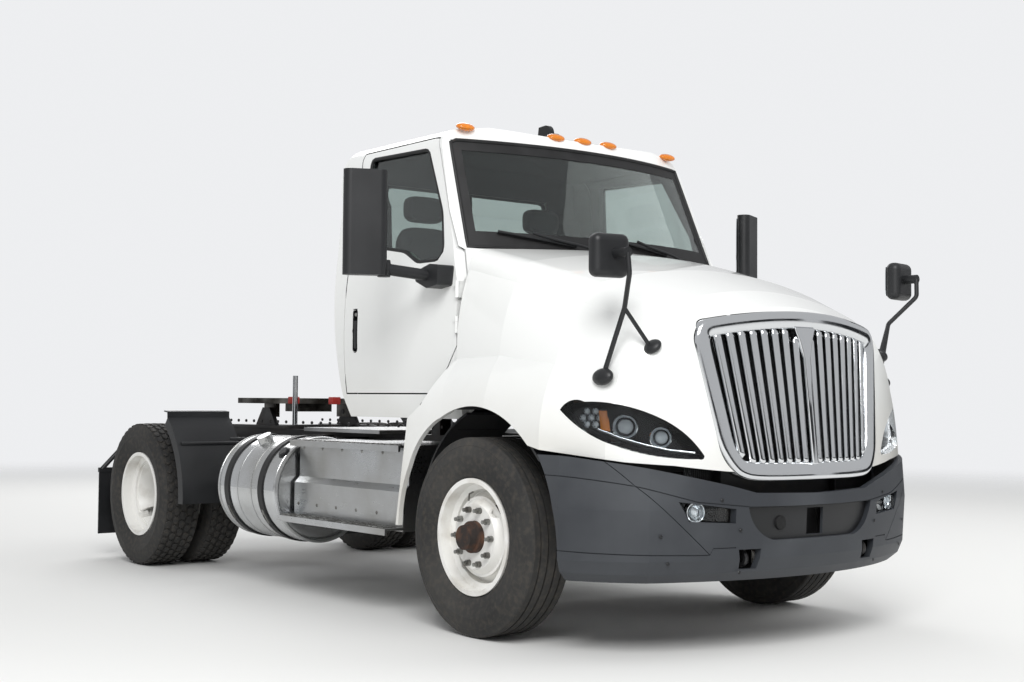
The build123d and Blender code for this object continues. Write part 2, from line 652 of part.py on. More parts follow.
# Wheel-arch liners, fixed under the hood's fenders
def arch_liner():
    ring = rod_x(640, 1200, FRONT_AXLE, AXLE_Z, ARCH_R + LINER_WALL) - rod_x(600, 1250, FRONT_AXLE,
        AXLE_Z, ARCH_R)
    return ring & block(600, 1200, fy(-700), fy(LINER_END), 780, 1300) & hood_inner


put("arch_liners", both_sides(arch_liner()))


# Splash guards behind the front wheels, fixed under the cab
def splash_guard():
    ring = rod_x(640, 1030, FRONT_AXLE, AXLE_Z, ARCH_R + LINER_WALL) - rod_x(600, 1100, FRONT_AXLE,
        AXLE_Z, ARCH_R)
    shape = ring & block(600, 1200, fy(248), fy(700), 520, 1300)
    shape += block(640, 1030, fy(ARCH_R + 1), fy(ARCH_R + LINER_WALL - 0.2), 400, 560)
    return shape + block(700, 980, fy(392), fy(404), 1040, CAB_FLOOR)


put("splash_guards", both_sides(splash_guard()))


# Hood mirrors: a head on a forked arm with two feet
HOOD_MIRROR = (1090, -930, 1880)


def hood_mirror():
    x, y, z = HOOD_MIRROR[0], fy(HOOD_MIRROR[1]), HOOD_MIRROR[2]
    head = Pos(x, y, z) * Rot(0, 0, 12) * Box(196, 84, 205)
    head = fillet(head.edges(), 36)
    knob = (x - 8, y - 122, z + 8)
    fork = (990, fy(-932), 1640)
    shape = head + rod_y(y - 126, y, x - 8, z + 8, 24)
    shape += tube([knob, (x - 14, y - 128, z - 90), fork, (1032, fy(-838), 1335)], 12, 40)
    shape += tube([fork, (862, fy(-972), 1462)], 10, 10)
    return shape


# The feet are flat pads against the skin: they are cut by the hood's form
feet = Pos(1040, fy(-838), 1318) * Rot(0, -24, 0) * scale(Sphere(50), (0.62, 1.3, 0.85))
feet += Pos(852, fy(-976), 1462) * Rot(0, 46, 0) * scale(Sphere(44), (1, 1.15, 0.55))
mirrors = both_sides((hood_mirror() + feet) - hood_form(0))
put("hood_mirrors", Compound(children=[s for s in mirrors.solids() if s.volume > 1e5]))


# Cab: the outside is the common volume of a side view, a front view and the raked screen
def cab_front(t):
    right = [(1000 - t, CAB_FLOOR + t), (CAB_HALF - t, 1500), (1005 - t, 2060), (935 - t, 2600),
             (905 - t * 0.9, 2685 - t * 0.7), (800 - t * 0.6, 2728 - t), (0, CAB_ROOF - t)]
    b, m, s, r, c, u, top = right
    left = [(-x, z) for x, z in right]
    return outline(b, (m, s), r, (c, u), (top, left[5]), (left[4], left[3]), left[2], (left[1], left[0]))


def cab_side(t):
    return outline(
        (FIREWALL + t, 1165 + t), (fy(360) + t * 0.3, CAB_FLOOR + t),
        (fy(1445) - t * 0.6, CAB_FLOOR + t), (fy(1507) - t, 1226 + t * 0.5),
        ((fy(1575) - t, 1700), (fy(1630) - t, 2400)),
        ((fy(1636) - t * 0.8, 2670 - t * 0.7), (fy(1560) - t * 0.6, 2752 - t)),
        ((fy(1060), CAB_ROOF + 2 - t), (fy(640), 2758 - t)),
        ((fy(500), 2728 - t), (fy(390), 2680 - t)), (fy(60), 2600), (fy(60), COWL_Z - t * 0.2),
        (fy(60) if t == 0 else FIREWALL + t, 1930), (FIREWALL + t, 1880),
    )


def screen(t):
    """Everything behind the raked, curved screen's surface."""
    drop = 1000
    y = SCREEN_FOOT + t * 1.1 - SCREEN_RAKE * drop
    plan = outline((-1200, y + SCREEN_BOW), ((0, y), (1200, y + SCREEN_BOW)), (1200, fy(3000)),
        (-1200, fy(3000)))
    rise = 1900
    return Solid.extrude((Plane.XY.offset(COWL_Z - drop) * plan).face(),
        Vector(0, SCREEN_RAKE * rise, rise))


def cab_form(t):
    solid = along_y(cab_front(t), fy(0), fy(1800)) & along_x(cab_side(t), -1200, 1200) & screen(t)
    return solid


cab_outer = cab_form(0)
cab_inner = cab_form(CAB_WALL)
corner = block(PILLAR_X, 1200, fy(0), DOOR_FRONT - 4, 1000, 2040)
corner_inner = block(PILLAR_X - CAB_WALL, 1200, fy(0), DOOR_FRONT + CAB_WALL, 1000, 2040 + CAB_WALL)
cab_room = cab_inner - both_sides(corner_inner)
under_hood = hood_rear_zone(-1, COWL_GAP) - hood_form(HOOD_WALL + COWL_GAP + 4, low=200, rear=60)


def door_side(g):
    """Door outline in side view, grown by g."""
    return outline(
        (fy(530) - g * 0.5, DOOR_BOTTOM - g), (DOOR_FRONT - g, 1494 - g * 0.5), (DOOR_FRONT - g, 1955 + g),
        (fy(408) - g, COWL_Z + g), (fy(684) - g, DOOR_TOP - 6 + g), (fy(724), DOOR_TOP + g),
        (fy(2000), DOOR_TOP + g), (fy(2000), DOOR_BOTTOM - g),
    )


def door_zone(g):
    around = rod_z(1000, 2800, DOOR_HINGE[0], DOOR_HINGE[1], DOOR_R + g)
    return along_x(door_side(g), DOOR_INNER_X - g, 1200) & around


WINDOW = [(500, 2010), (552, 2235), (764, 2618), (1352, 2632), (1398, 2110), (1060, 2068), (884, 2040),
    (740, 1968), (540, 1968)]


def door_window(g):
    c = (950, 2280)
    pts = []
    for y, z in WINDOW:
        dy, dz = y - c[0], z - c[1]
        n = math.hypot(dy, dz)
        pts.append((fy(y + g * dy / n), z + g * dz / n))
    face = make_face(Polyline(*pts, close=True))
    return along_x(fillet(face.vertices(), 22), 700, 1200)


def inside_doors(t):
    """The space between the doors, t in from the cab's sides, over the doors' whole height."""
    return along_y(cab_front(t), fy(0), fy(1800))


def hinge_bore(r):
    """The space around both hinges of a door."""
    return rod_z(HINGE_Z[0] - 36, HINGE_Z[0] + 66, *DOOR_HINGE, r) + rod_z(HINGE_Z[1] - 36,
        HINGE_Z[1] + 66, *DOOR_HINGE, r)


shell = cab_outer - cab_room - under_hood
shell -= both_sides(corner)
shell -= both_sides(door_zone(DOOR_GAP) - inside_doors(CAB_WALL + DOOR_GAP))
screen_hole = outline((-935, COWL_Z + 4), (935, COWL_Z + 4), (880, 2662), (-880, 2662))
shell -= along_y(screen_hole, fy(0), fy(760))
BACK_WINDOW = (640, 2000, 2540)
back_hole = block(-BACK_WINDOW[0], BACK_WINDOW[0], fy(1400), fy(1800), BACK_WINDOW[1], BACK_WINDOW[2])
shell -= back_hole
put("cab", shell)
hinges = None
for z in HINGE_Z:
    hinge_half = rod_z(z - 30, z + 30, *DOOR_HINGE, HINGE_R)
    hinge_half += block(PILLAR_X - 4, DOOR_HINGE[0], DOOR_HINGE[1] - 8, DOOR_HINGE[1] + 4, z - 30, z + 30)
    hinge_half -= cab_outer - corner
    hinges = both_sides(hinge_half) if hinges is None else hinges + both_sides(hinge_half)
put("door_hinges", hinges)

for side, label in ((1, "left"), (-1, "right")):
    body = (cab_outer & door_zone(0)) - inside_doors(CAB_WALL) - door_window(0)
    handle = fillet((Pos(1060, fy(1340), 1605) * Box(80, 56, 260)).edges().filter_by(Axis.X), 26)
    body -= handle
    body -= hinge_bore(HINGE_R + 6)
    for z in HINGE_Z:
        body += rod_z(z + 30.4, z + 60, *DOOR_HINGE, HINGE_R)
        body += block(1000, DOOR_HINGE[0] + 4, DOOR_HINGE[1], DOOR_HINGE[1] + 30, z + 30.4, z + 60)
    glass = (cab_form(20) - cab_form(27)) & door_window(-0.3)
    if side < 0:
        body = mirror(body, Plane.YZ)
        glass = mirror(glass, Plane.YZ)
    put(f"door_{label}", body)
    put(f"door_glass_{label}", glass)

screen_in = outline((-934.7, COWL_Z + 4.3), (934.7, COWL_Z + 4.3), (879.7, 2661.7), (-879.7, 2661.7))
put("windscreen", (cab_form(6) - cab_form(14)) & along_y(screen_in, fy(0), fy(760)))
back_glass = block(-BACK_WINDOW[0] + 0.3, BACK_WINDOW[0] - 0.3, fy(1500), fy(1800), BACK_WINDOW[1] + 0.3,
    BACK_WINDOW[2] - 0.3)
put("back_window", (cab_form(20) - cab_form(26)) & back_glass)


# Door mirrors: tall head, arm and bracket on the door
DOOR_MIRROR = (1480, 560, 2140)


MIRROR_TURN = 25


def door_mirror():
    """Head turned towards the driver, a thick arm and its foot on the door."""
    x, y, z = DOOR_MIRROR[0], fy(DOOR_MIRROR[1]), DOOR_MIRROR[2]
    head = Pos(x, y, z) * Rot(0, 0, MIRROR_TURN) * Box(235, 84, 560)
    head = fillet(head.edges().filter_by(Axis.Z), 40)
    shape = head + tube([(x - 60, y - 20, z - 230), (1370, y - 20, 1898), (1090, fy(480), 1870)], 31, 60)
    foot = outline((fy(378), 1818), (fy(378), 1926), (fy(450), 1934), (fy(585), 1900), (fy(585), 1846),
        (fy(480), 1804))
    foot = fillet(along_x(foot, 1000, 1138).edges().filter_by(Axis.X), 16)
    return (shape + foot) - cab_outer


for side, label in ((1, "left"), (-1, "right")):
    shape = door_mirror()
    put(f"door_mirror_{label}", shape if side > 0 else mirror(shape, Plane.YZ))

# Inside the cab
STEER_C = Vector(470, fy(730), 1960)
STEER_AXIS = Vector(0, 0.55, 0.835)
dash = outline((FIREWALL + CAB_WALL + 0.3, 1160), (fy(560), 1400), (fy(640), 1900),
    ((fy(560), 2000), (fy(380), 2024)),
               (FIREWALL + CAB_WALL + 0.3, 2010))
column = Plane(origin=STEER_C, z_dir=STEER_AXIS).location * Pos(0, 0, -150) * Cylinder(32, 258)
dashboard = along_x(dash, -900, 900) & cab_form(CAB_WALL + 0.3) - block(-900, 900, fy(0), fy(400), 1000,
    1170)
put("dashboard", dashboard + column)


def seat():
    base = block(-190, 190, fy(900), fy(1280), CAB_FLOOR + CAB_WALL, 1560)
    cushion = fillet((Pos(0, fy(1090), 1620) * Box(520, 540, 150)).edges(), 50)
    back = outline((fy(1270), 1600), (fy(1400), 1600), (fy(1520), 2300), (fy(1420), 2320))
    back = fillet(along_x(back, -250, 250).edges(), 40)
    head = fillet((Pos(0, fy(1475), 2370) * Box(300, 110, 210)).edges(), 40)
    return base + cushion + back + head


put("seat_driver", Pos(470, 0, 0) * seat())
put("seat_passenger", Pos(-470, 0, 0) * seat())

# Steering wheel on its raked column, which the dashboard carries
wheel_plane = Plane(origin=STEER_C, z_dir=STEER_AXIS)
ring = wheel_plane.location * Torus(225, 15)
ring += wheel_plane.location * Cylinder(55, 40)
for turn in (0, 120, 240):
    ring += wheel_plane.location * Rot(0, 0, turn) * Pos(120, 0, 0) * Box(210, 34, 14)
put("steering_wheel", ring)

# Roof lamps
lamps = None
for x, y in ((0, 470), (205, 474), (790, 570)):
    turn = Pos(x, fy(y + 40), 2735 + 5 * (x > 500)) * Rot(16, 0, 0)
    lamp = turn * scale(Sphere(50), (1.2, 0.8, 0.45))
    lamp -= cab_outer
    if x > 0:
        lamp = both_sides(lamp)
    lamps = lamp if lamps is None else lamps + lamp
put("roof_lamps", lamps)
fin = outline((fy(760), 2740), (fy(792), 2830), ((fy(812), 2868), (fy(850), 2878)), (fy(905), 2874),
    (fy(925), 2740))
antenna = along_x(fin, -15, 15) + along_x(outline((fy(735), 2740), (fy(772), 2822), (fy(930), 2822),
    (fy(955), 2740)), -36, 36)
put("roof_antenna", antenna - cab_outer)

# Fuel tanks, one each side, with brackets and straps
TANK_R = 330
TANK_X = 872
TANK_Z = 632
TANK_Y = (1985, 2745)


def fuel_tank():
    y0, y1 = fy(TANK_Y[0]), fy(TANK_Y[1])
    body = rod_y(y0 + 30, y1 - 30, TANK_X, TANK_Z, TANK_R)
    body += Pos(TANK_X, y0 + 30, TANK_Z) * scale(Sphere(TANK_R), (1, 0.09, 1))
    body += Pos(TANK_X, y1 - 30, TANK_Z) * scale(Sphere(TANK_R), (1, 0.09, 1))
    cap = Pos(TANK_X, fy(2440), TANK_Z) * Rot(0, 27, 0) * Pos(0, 0, TANK_R + 15) * Cylinder(48, 50)
    return body + cap


put("fuel_tanks", both_sides(fuel_tank()))
straps = None
for y in (2175, 2620):
    band = rod_y(fy(y - 28), fy(y + 28), TANK_X, TANK_Z, TANK_R + 8.3) - rod_y(fy(y - 40), fy(y + 40),
        TANK_X, TANK_Z, TANK_R + 0.3)
    bracket = block(RAIL_OUT_X, TANK_X - 200, fy(y - 40), fy(y + 40), 330, RAIL_TOP - 30) \
        - rod_y(fy(y - 60), fy(y + 60), TANK_X, TANK_Z, TANK_R + 0.3)
    piece = both_sides(band + bracket)
    straps = piece if straps is None else straps + piece
put("tank_straps", straps)

# Step boxes under the doors
STEP_Y = (760, 1960)
STEP_FACE = 1046


def step_box():
    """Upper tread, a set-in panel over one that leans out, and the lower tread."""
    y0, y1 = fy(STEP_Y[0]), fy(STEP_Y[1])
    inner = RAIL_OUT_X + 8
    leaning = STEP_FACE + 36
    section = outline(
        (inner, 948), (1120, 948), (1120, 912), (1108, 912), (1104, 934), (STEP_FACE, 930),
        (STEP_FACE, 724), (leaning, 688), (leaning, 494), (1204, 492), (1204, 456), (1192, 456),
        (1188, 480), (leaning, 480), (leaning, 470), (inner + 90, 470), (inner, 560),
    )
    brackets = block(RAIL_OUT_X, inner, y0 + 100, y1 - 100, 720, 900)
    return along_y(section, y0, y1) + brackets


put("step_boxes", both_sides(step_box()))
put("deck_plate", block(-620, 620, fy(1720), fy(2650), RAIL_TOP, RAIL_TOP + 24))


# Rear quarter fenders and mudflaps
FENDER_R = 725
FENDER_WALL = 8


def fender_arc(r, low_deg, high_deg):
    """Start, middle and end of an arc about the rear axle, in side view, angles up from straight ahead."""
    return [(REAR_AXLE - r * math.cos(math.radians(a)), AXLE_Z + r * math.sin(math.radians(a)))
            for a in (low_deg, (low_deg + high_deg) / 2, high_deg)]


def quarter_fender():
    """Curved guard before the tyre's front, with an upright upper edge, an outer flange and a rib."""
    x0, x1 = 740, 1215
    out = fender_arc(FENDER_R, 0, 50)
    inn = fender_arc(FENDER_R - FENDER_WALL, 50, 0)
    flange_in = fender_arc(FENDER_R - 70, 50, 0)
    top = out[2]
    sheet = outline(
        (out[0][0], 475), out[0], (out[1], out[2]), (top[0], 1106), (top[0] + 60, 1112),
        (top[0] + 60, 1104),
        (top[0] + FENDER_WALL, 1098), inn[0], (inn[1], inn[2]), (inn[2][0], 475),
    )
    flange = outline((out[0][0], 475), out[0], (out[1], out[2]), flange_in[0],
        (flange_in[1], flange_in[2]), (flange_in[2][0], 475))
    rib = fender_arc(FENDER_R + 6, 31, 31)[0]
    shape = along_x(sheet, x0, x1) + along_x(flange, x1 - FENDER_WALL, x1)
    shape += rod_x(x0, x1 - 30, rib[0] + 4, rib[1], 13)
    mount = fender_arc(FENDER_R - 15, 34, 34)[0]
    return shape + rod_x(RAIL_OUT_X, x0 + 60, mount[0], mount[1], 20)


put("quarter_fenders", both_sides(quarter_fender()))


FLAP_Y = fy(4650)


def mudflap():
    """Rubber flap under a bar whose outer end drops at 45 degrees."""
    flap = block(760, 1232, FLAP_Y - 5, FLAP_Y + 5, 170, 660)
    clamp = block(756, 1236, FLAP_Y - 12, FLAP_Y + 12, 634, 668)
    arm = tube([(RAIL_OUT_X, FLAP_Y, 862), (1010, FLAP_Y, 862), (1212, FLAP_Y, 654)], 17, 50)
    return flap + clamp + arm


put("mudflaps", both_sides(mudflap()))
tail = both_sides(block(322, RAIL_OUT_X, RAIL_REAR, RAIL_REAR + 30, RAIL_TOP - 200, RAIL_TOP - 100))
put("tail_lamps", tail)


# Fifth wheel: base on the rails, and the plate that rocks on two pins
def plate_face():
    y0, y1 = PLATE_PIVOT[0] - 320, PLATE_PIVOT[0] + 330
    h = PLATE_HALF
    return outline(
        (-h + 150, y0), (h - 150, y0), ((h - 44, y0 + 44), (h, y0 + 150)), (h, y1 - 60),
        (h - 160, y1 + 130),
        (210, y1 + 130), (75, y1 - 160), (75, y1 - 210), (-75, y1 - 210), (-75, y1 - 160),
        (-210, y1 + 130), (-h + 160, y1 + 130),
        (-h, y1 - 60), (-h, y0 + 150), ((-h + 44, y0 + 44), (-h + 150, y0)),
    )


JAW = (0, PLATE_PIVOT[0] + 30)
plate = along_z(plate_face(), PLATE_TOP - PLATE_THICK, PLATE_TOP)
plate += both_sides(block(300, 330, PLATE_PIVOT[0] - 90, PLATE_PIVOT[0] + 90, PLATE_PIVOT[1] - 40,
    PLATE_TOP - 10))
plate += block(-140, 140, JAW[1] - 130, JAW[1] + 80, PLATE_TOP - 100, PLATE_TOP - 20)
plate -= rod_z(900, 1400, JAW[0], JAW[1], KINGPIN_BORE_R)
plate -= both_sides(rod_x(250, 420, PLATE_PIVOT[0], PLATE_PIVOT[1], PLATE_PIN_R + RUN_FIT))
put("fifth_wheel_plate", plate)


def base_side():
    y, z = PLATE_PIVOT
    ear = outline((y - 150, RAIL_TOP + 20), (y + 150, RAIL_TOP + 20), (y + 50, z + 30), (y - 50, z + 30))
    shape = along_x(ear, 336, 366)
    shape += rod_x(296, 366, y, z, PLATE_PIN_R)
    shape += block(RAIL_OUT_X - 100, RAIL_OUT_X + 12, y - 420, y + 420, RAIL_TOP, RAIL_TOP + 20)
    return shape


base = both_sides(base_side()) + block(-340, 340, PLATE_PIVOT[0] - 120, PLATE_PIVOT[0] + 120,
    RAIL_TOP + 5, RAIL_TOP + 20)
put("fifth_wheel_base", base)

# Hood hinge: pins on brackets from the front crossmember, and the bumper's arms
hinge = rod_x(286, 374, HOOD_PIVOT[0], HOOD_PIVOT[1], HOOD_PIN_R)
hinge += rod_x(366, 380, HOOD_PIVOT[0], HOOD_PIVOT[1], HOOD_PIN_R + 3)
hinge += block(366, 380, HOOD_PIVOT[0], CROSSMEMBERS[0] - 6, HOOD_PIVOT[1] - HOOD_PIN_R - 3,
               HOOD_PIVOT[1] + 26)
hinge += block(366, RAIL_OUT_X - RAIL_WALL, RAIL_FRONT + 12, CROSSMEMBERS[0] - 6, HOOD_PIVOT[1] - 24,
               HOOD_PIVOT[1] + 26)
hinge = both_sides(hinge)
put("hood_hinge", hinge)

# Exhaust silencer and tailpipe, hung under the right rail
EXHAUST_X = -235
EXHAUST_Z = 600
exhaust = rod_y(fy(1200), fy(1900), EXHAUST_X, EXHAUST_Z, 104)
exhaust += rod_y(fy(430), fy(1210), EXHAUST_X - 40, EXHAUST_Z, 50) + rod_y(fy(1890), fy(2500), EXHAUST_X,
    EXHAUST_Z, 50)
for y in (1300, 1800):
    exhaust += block(-400, -200, fy(y - 15), fy(y + 15), 690, RAIL_TOP - RAIL_DEPTH)
put("exhaust", exhaust)

# Mounts that carry the cab on the rails
cab_mount = block(350, RAIL_OUT_X, fy(400), fy(480), RAIL_TOP, CAB_FLOOR) + block(350, RAIL_OUT_X,
    fy(1330), fy(1420), RAIL_TOP, CAB_FLOOR)
put("cab_mounts", both_sides(cab_mount))

if __name__ == "__main__":
    for name, shape in PARTS.items():
        box = shape.bounding_box()
        print(name, len(shape.solids()), [round(v) for v in (*box.min, *box.max)])
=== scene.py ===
"""Looks of a two-axle day-cab tractor unit: finishes, fine pieces, light and camera.

Lengths are metres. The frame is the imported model's: +Z up, the front faces -Y, +X is the
vehicle's left.
"""
from __future__ import annotations

import json
import logging
import math
from dataclasses import dataclass, field
from enum import Enum
from typing import Callable, Iterable

import bpy
from mathutils import Matrix, Vector

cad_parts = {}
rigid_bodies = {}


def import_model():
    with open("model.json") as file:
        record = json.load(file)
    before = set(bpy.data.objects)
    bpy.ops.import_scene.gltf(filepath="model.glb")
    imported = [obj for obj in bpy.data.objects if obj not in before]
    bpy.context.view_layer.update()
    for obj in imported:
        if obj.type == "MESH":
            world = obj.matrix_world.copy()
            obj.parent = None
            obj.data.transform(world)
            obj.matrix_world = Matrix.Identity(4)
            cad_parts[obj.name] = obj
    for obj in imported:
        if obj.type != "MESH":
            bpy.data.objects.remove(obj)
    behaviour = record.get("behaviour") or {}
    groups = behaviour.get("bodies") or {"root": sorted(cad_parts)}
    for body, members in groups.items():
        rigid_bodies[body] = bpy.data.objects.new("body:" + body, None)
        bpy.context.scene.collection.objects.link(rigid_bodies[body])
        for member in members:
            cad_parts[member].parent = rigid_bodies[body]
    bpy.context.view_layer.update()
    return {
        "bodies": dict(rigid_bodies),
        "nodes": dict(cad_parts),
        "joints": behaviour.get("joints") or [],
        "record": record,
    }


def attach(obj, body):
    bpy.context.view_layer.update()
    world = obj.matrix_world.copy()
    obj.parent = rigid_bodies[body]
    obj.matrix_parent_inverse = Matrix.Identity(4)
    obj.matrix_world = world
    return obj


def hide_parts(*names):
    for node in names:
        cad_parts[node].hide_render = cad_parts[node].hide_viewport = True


LOG = logging.getLogger("tractor_unit")
FRONT_AXLE_Y = -1.8
REAR_AXLE_Y = 2.17
AXLE_Z = 0.508
MM = 0.001


class Side(Enum):
    """The vehicle's sides, by the sign of X."""

    LEFT = 1
    RIGHT = -1

    @property
    def word(self) -> str:
        """The side's word in node and body names."""
        return self.name.lower()


class Plane(Enum):
    """Planes that an outline is drawn in, by its two coordinates."""

    XZ = (0, 2, 1)
    YZ = (1, 2, 0)


def from_axle(millimetres: float) -> float:
    """Y, in metres, of a point this many millimetres behind the front axle."""
    return FRONT_AXLE_Y + millimetres * MM


def linear(hex_colour: str) -> tuple[float, float, float, float]:
    """Turns an sRGB hex colour into linear RGBA.

    Args:
        hex_colour: Six hex digits, with or without a leading hash.

    Returns:
        The linear colour with an alpha of 1.
    """
    digits = hex_colour.lstrip("#")
    values = [int(digits[k:k + 2], 16) / 255 for k in (0, 2, 4)]
    curve = [v / 12.92 if v <= 0.04045 else ((v + 0.055) / 1.055) ** 2.4 for v in values]
    return (curve[0], curve[1], curve[2], 1.0)


def per_mm(size_mm: float) -> float:
    """Noise scale, per metre, whose blotches are about this many millimetres across."""
    return 0.5 / (size_mm * MM)


def per_wave(pitch_mm: float) -> float:
    """Wave scale, per metre, whose crests are about this many millimetres apart."""
    return 1.0 / (pitch_mm * MM) / 3.14


def add_node(tree: bpy.types.NodeTree, kind: str, settings: dict | None = None,
             into: dict | None = None, **sockets: object) -> bpy.types.Node:
    """Adds a shader node with its settings, input values and links.

    Args:
        tree: The material's or world's node tree.
        kind: The node's type name.
        settings: Attributes set on the node; "stops" are (place, hex colour) of a colour ramp.
        into: Output name to the input socket that it feeds.
        sockets: Input name (spaces as underscores, or i and its number) to a value or an output socket.

    Returns:
        The new node.
    """
    made = tree.nodes.new(kind)
    for name, value in (settings or {}).items():
        if name == "stops":
            band = made.color_ramp.elements
            while len(band) < len(value):
                band.new(0.5)
            for element, (at, colour) in zip(band, value):
                element.position = at
                element.color = linear(colour)
        else:
            setattr(made, name, value)
    for name, value in sockets.items():
        key = int(name[1:]) if name[0] == "i" and name[1:].isdigit() else name.replace("_", " ")
        if isinstance(value, bpy.types.NodeSocket):
            tree.links.new(value, made.inputs[key])
        else:
            made.inputs[key].default_value = value
    for name, socket in (into or {}).items():
        tree.links.new(made.outputs[name], socket)
    return made


@dataclass(frozen=True)
class Finish:
    """A surface finish; subclasses say what the real one is made of."""

    name: str = "finish"
    colour: str = "#808080"
    roughness: float = 0.5
    metallic: float = 0.0

    def start(self) -> tuple[bpy.types.Material, bpy.types.NodeTree, dict, bpy.types.NodeSocket]:
        """Starts a material with its shader and Object coordinates.

        Returns:
            The material, its tree, the shader's inputs and the Object coordinate socket.
        """
        material = bpy.data.materials.new(self.name)
        material.use_nodes = True
        tree = material.node_tree
        tree.nodes.clear()
        out = add_node(tree, "ShaderNodeOutputMaterial")
        shader = add_node(tree, "ShaderNodeBsdfPrincipled", None, {"BSDF": out.inputs["Surface"]},
                          Base_Color=linear(self.colour), Roughness=self.roughness, Metallic=self.metallic)
        place = add_node(tree, "ShaderNodeTexCoord")
        return material, tree, shader.inputs, place.outputs["Object"]

    def build(self) -> bpy.types.Material:
        """Makes the material."""
        return self.start()[0]


@dataclass(frozen=True)
class CabEnamel(Finish):
    """White two-pack cab enamel, sprayed: glossy, with a faint ripple and road film low down."""

    name: str = "cab_enamel_white"
    colour: str = "#EDEEEC"
    roughness: float = 0.26
    film_colour: str = "#D2CFC7"

    def build(self) -> bpy.types.Material:
        """Makes the enamel with its film of dust towards the road."""
        material, tree, shader, place = self.start()
        shader["Coat Weight"].default_value = 0.7
        shader["Coat Roughness"].default_value = 0.05
        split = add_node(tree, "ShaderNodeSeparateXYZ", Vector=place)
        height = add_node(tree, "ShaderNodeMapRange", Value=split.outputs["Z"], From_Min=0.7, From_Max=1.6,
                          To_Min=1.0, To_Max=0.0)
        patch = add_node(tree, "ShaderNodeTexNoise", Vector=place, Scale=per_mm(260), Detail=4)
        film = add_node(tree, "ShaderNodeMath", {"operation": "MULTIPLY"}, i0=height.outputs["Result"],
                        i1=patch.outputs["Fac"])
        add_node(tree, "ShaderNodeValToRGB", {"stops": [(0.15, self.colour), (0.75, self.film_colour)]},
                 {"Color": shader["Base Color"]}, Fac=film.outputs["Value"])
        ripple = add_node(tree, "ShaderNodeTexNoise", Vector=place, Scale=per_mm(5), Detail=1)
        add_node(tree, "ShaderNodeBump", None, {"Normal": shader["Normal"]}, Height=ripple.outputs["Fac"],
                 Distance=0.03 * MM, Strength=0.3)
        return material


@dataclass(frozen=True)
class PatchedFinish(Finish):
    """A finish whose colour and gloss vary in patches, over a fine relief; subclasses say of what."""

    worn: str = "#909090"
    patch_mm: float = 100.0
    patch_from: float = 0.4
    patch_to: float = 0.75
    rough_to: float = 0.6
    relief_mm: float = 4.0
    relief_depth_mm: float = 0.2
    relief_strength: float = 0.5
    detail: float = 5.0
    coat: float = 0.0
    cells: bool = False

    def build(self) -> bpy.types.Material:
        """Makes the patches and the relief, noise or cells, from the finish's own values."""
        material, tree, shader, place = self.start()
        shader["Coat Weight"].default_value = self.coat
        patch = add_node(tree, "ShaderNodeTexNoise", Vector=place, Scale=per_mm(self.patch_mm),
                         Detail=self.detail)
        add_node(tree, "ShaderNodeValToRGB",
                 {"stops": [(self.patch_from, self.colour), (self.patch_to, self.worn)]},
                 {"Color": shader["Base Color"]}, Fac=patch.outputs["Fac"])
        add_node(tree, "ShaderNodeMapRange", None, {"Result": shader["Roughness"]},
                 Value=patch.outputs["Fac"], From_Min=self.patch_from, From_Max=self.patch_to,
                 To_Min=self.roughness, To_Max=self.rough_to)
        if self.cells:
            relief = add_node(tree, "ShaderNodeTexVoronoi", Vector=place, Scale=1.0 / (self.relief_mm * MM))
            height = relief.outputs["Distance"]
        else:
            relief = add_node(tree, "ShaderNodeTexNoise", Vector=place, Scale=per_mm(self.relief_mm),
                              Detail=2)
            height = relief.outputs["Fac"]
        add_node(tree, "ShaderNodeBump", None, {"Normal": shader["Normal"]}, Height=height,
                 Distance=self.relief_depth_mm * MM, Strength=self.relief_strength)
        return material


@dataclass(frozen=True)
class GrainedMoulding(PatchedFinish):
    """Injection-moulded polypropylene, leather-grained at 3 mm, greyed in patches by weather."""

    name: str = "grained_moulding"
    colour: str = "#303338"
    worn: str = "#44474B"
    roughness: float = 0.5
    rough_to: float = 0.68
    patch_mm: float = 220.0
    relief_mm: float = 3.0
    relief_depth_mm: float = 0.25
    cells: bool = True


@dataclass(frozen=True)
class ChassisPaint(PatchedFinish):
    """Satin black chassis paint, brushed over steel, under patches of brown road dust."""

    name: str = "chassis_paint_black"
    colour: str = "#1B1B1C"
    worn: str = "#47403A"
    roughness: float = 0.42
    rough_to: float = 0.85
    patch_mm: float = 90.0
    patch_from: float = 0.5
    patch_to: float = 0.85
    relief_depth_mm: float = 0.15


@dataclass(frozen=True)
class TyreRubber(Finish):
    """Vulcanised tyre rubber: near black, greyed by weather, with brown dust low in its relief."""

    name: str = "tyre_rubber"
    colour: str = "#222222"
    grey: str = "#3A3937"
    dust: str = "#5F564B"
    dusty: float = 0.35

    def build(self) -> bpy.types.Material:
        """Makes the rubber: broad grey patches, a fine speckle of dust and a rough skin."""
        material, tree, shader, place = self.start()
        patch = add_node(tree, "ShaderNodeTexNoise", Vector=place, Scale=per_mm(260), Detail=5)
        grey = add_node(tree, "ShaderNodeValToRGB", {"stops": [(0.35, self.colour), (0.7, self.grey)]},
                        Fac=patch.outputs["Fac"])
        speck = add_node(tree, "ShaderNodeTexNoise", Vector=place, Scale=per_mm(14), Detail=6)
        lies = add_node(tree, "ShaderNodeMapRange", Value=speck.outputs["Fac"], From_Min=0.45, From_Max=0.8,
                        To_Min=0.0, To_Max=self.dusty)
        add_node(tree, "ShaderNodeMix", {"data_type": "RGBA"}, {2: shader["Base Color"]},
                 i0=lies.outputs["Result"], i6=grey.outputs["Color"], i7=linear(self.dust))
        shader["Roughness"].default_value = 0.82
        add_node(tree, "ShaderNodeBump", None, {"Normal": shader["Normal"]}, Height=speck.outputs["Fac"],
                 Distance=0.3 * MM, Strength=0.45)
        return material


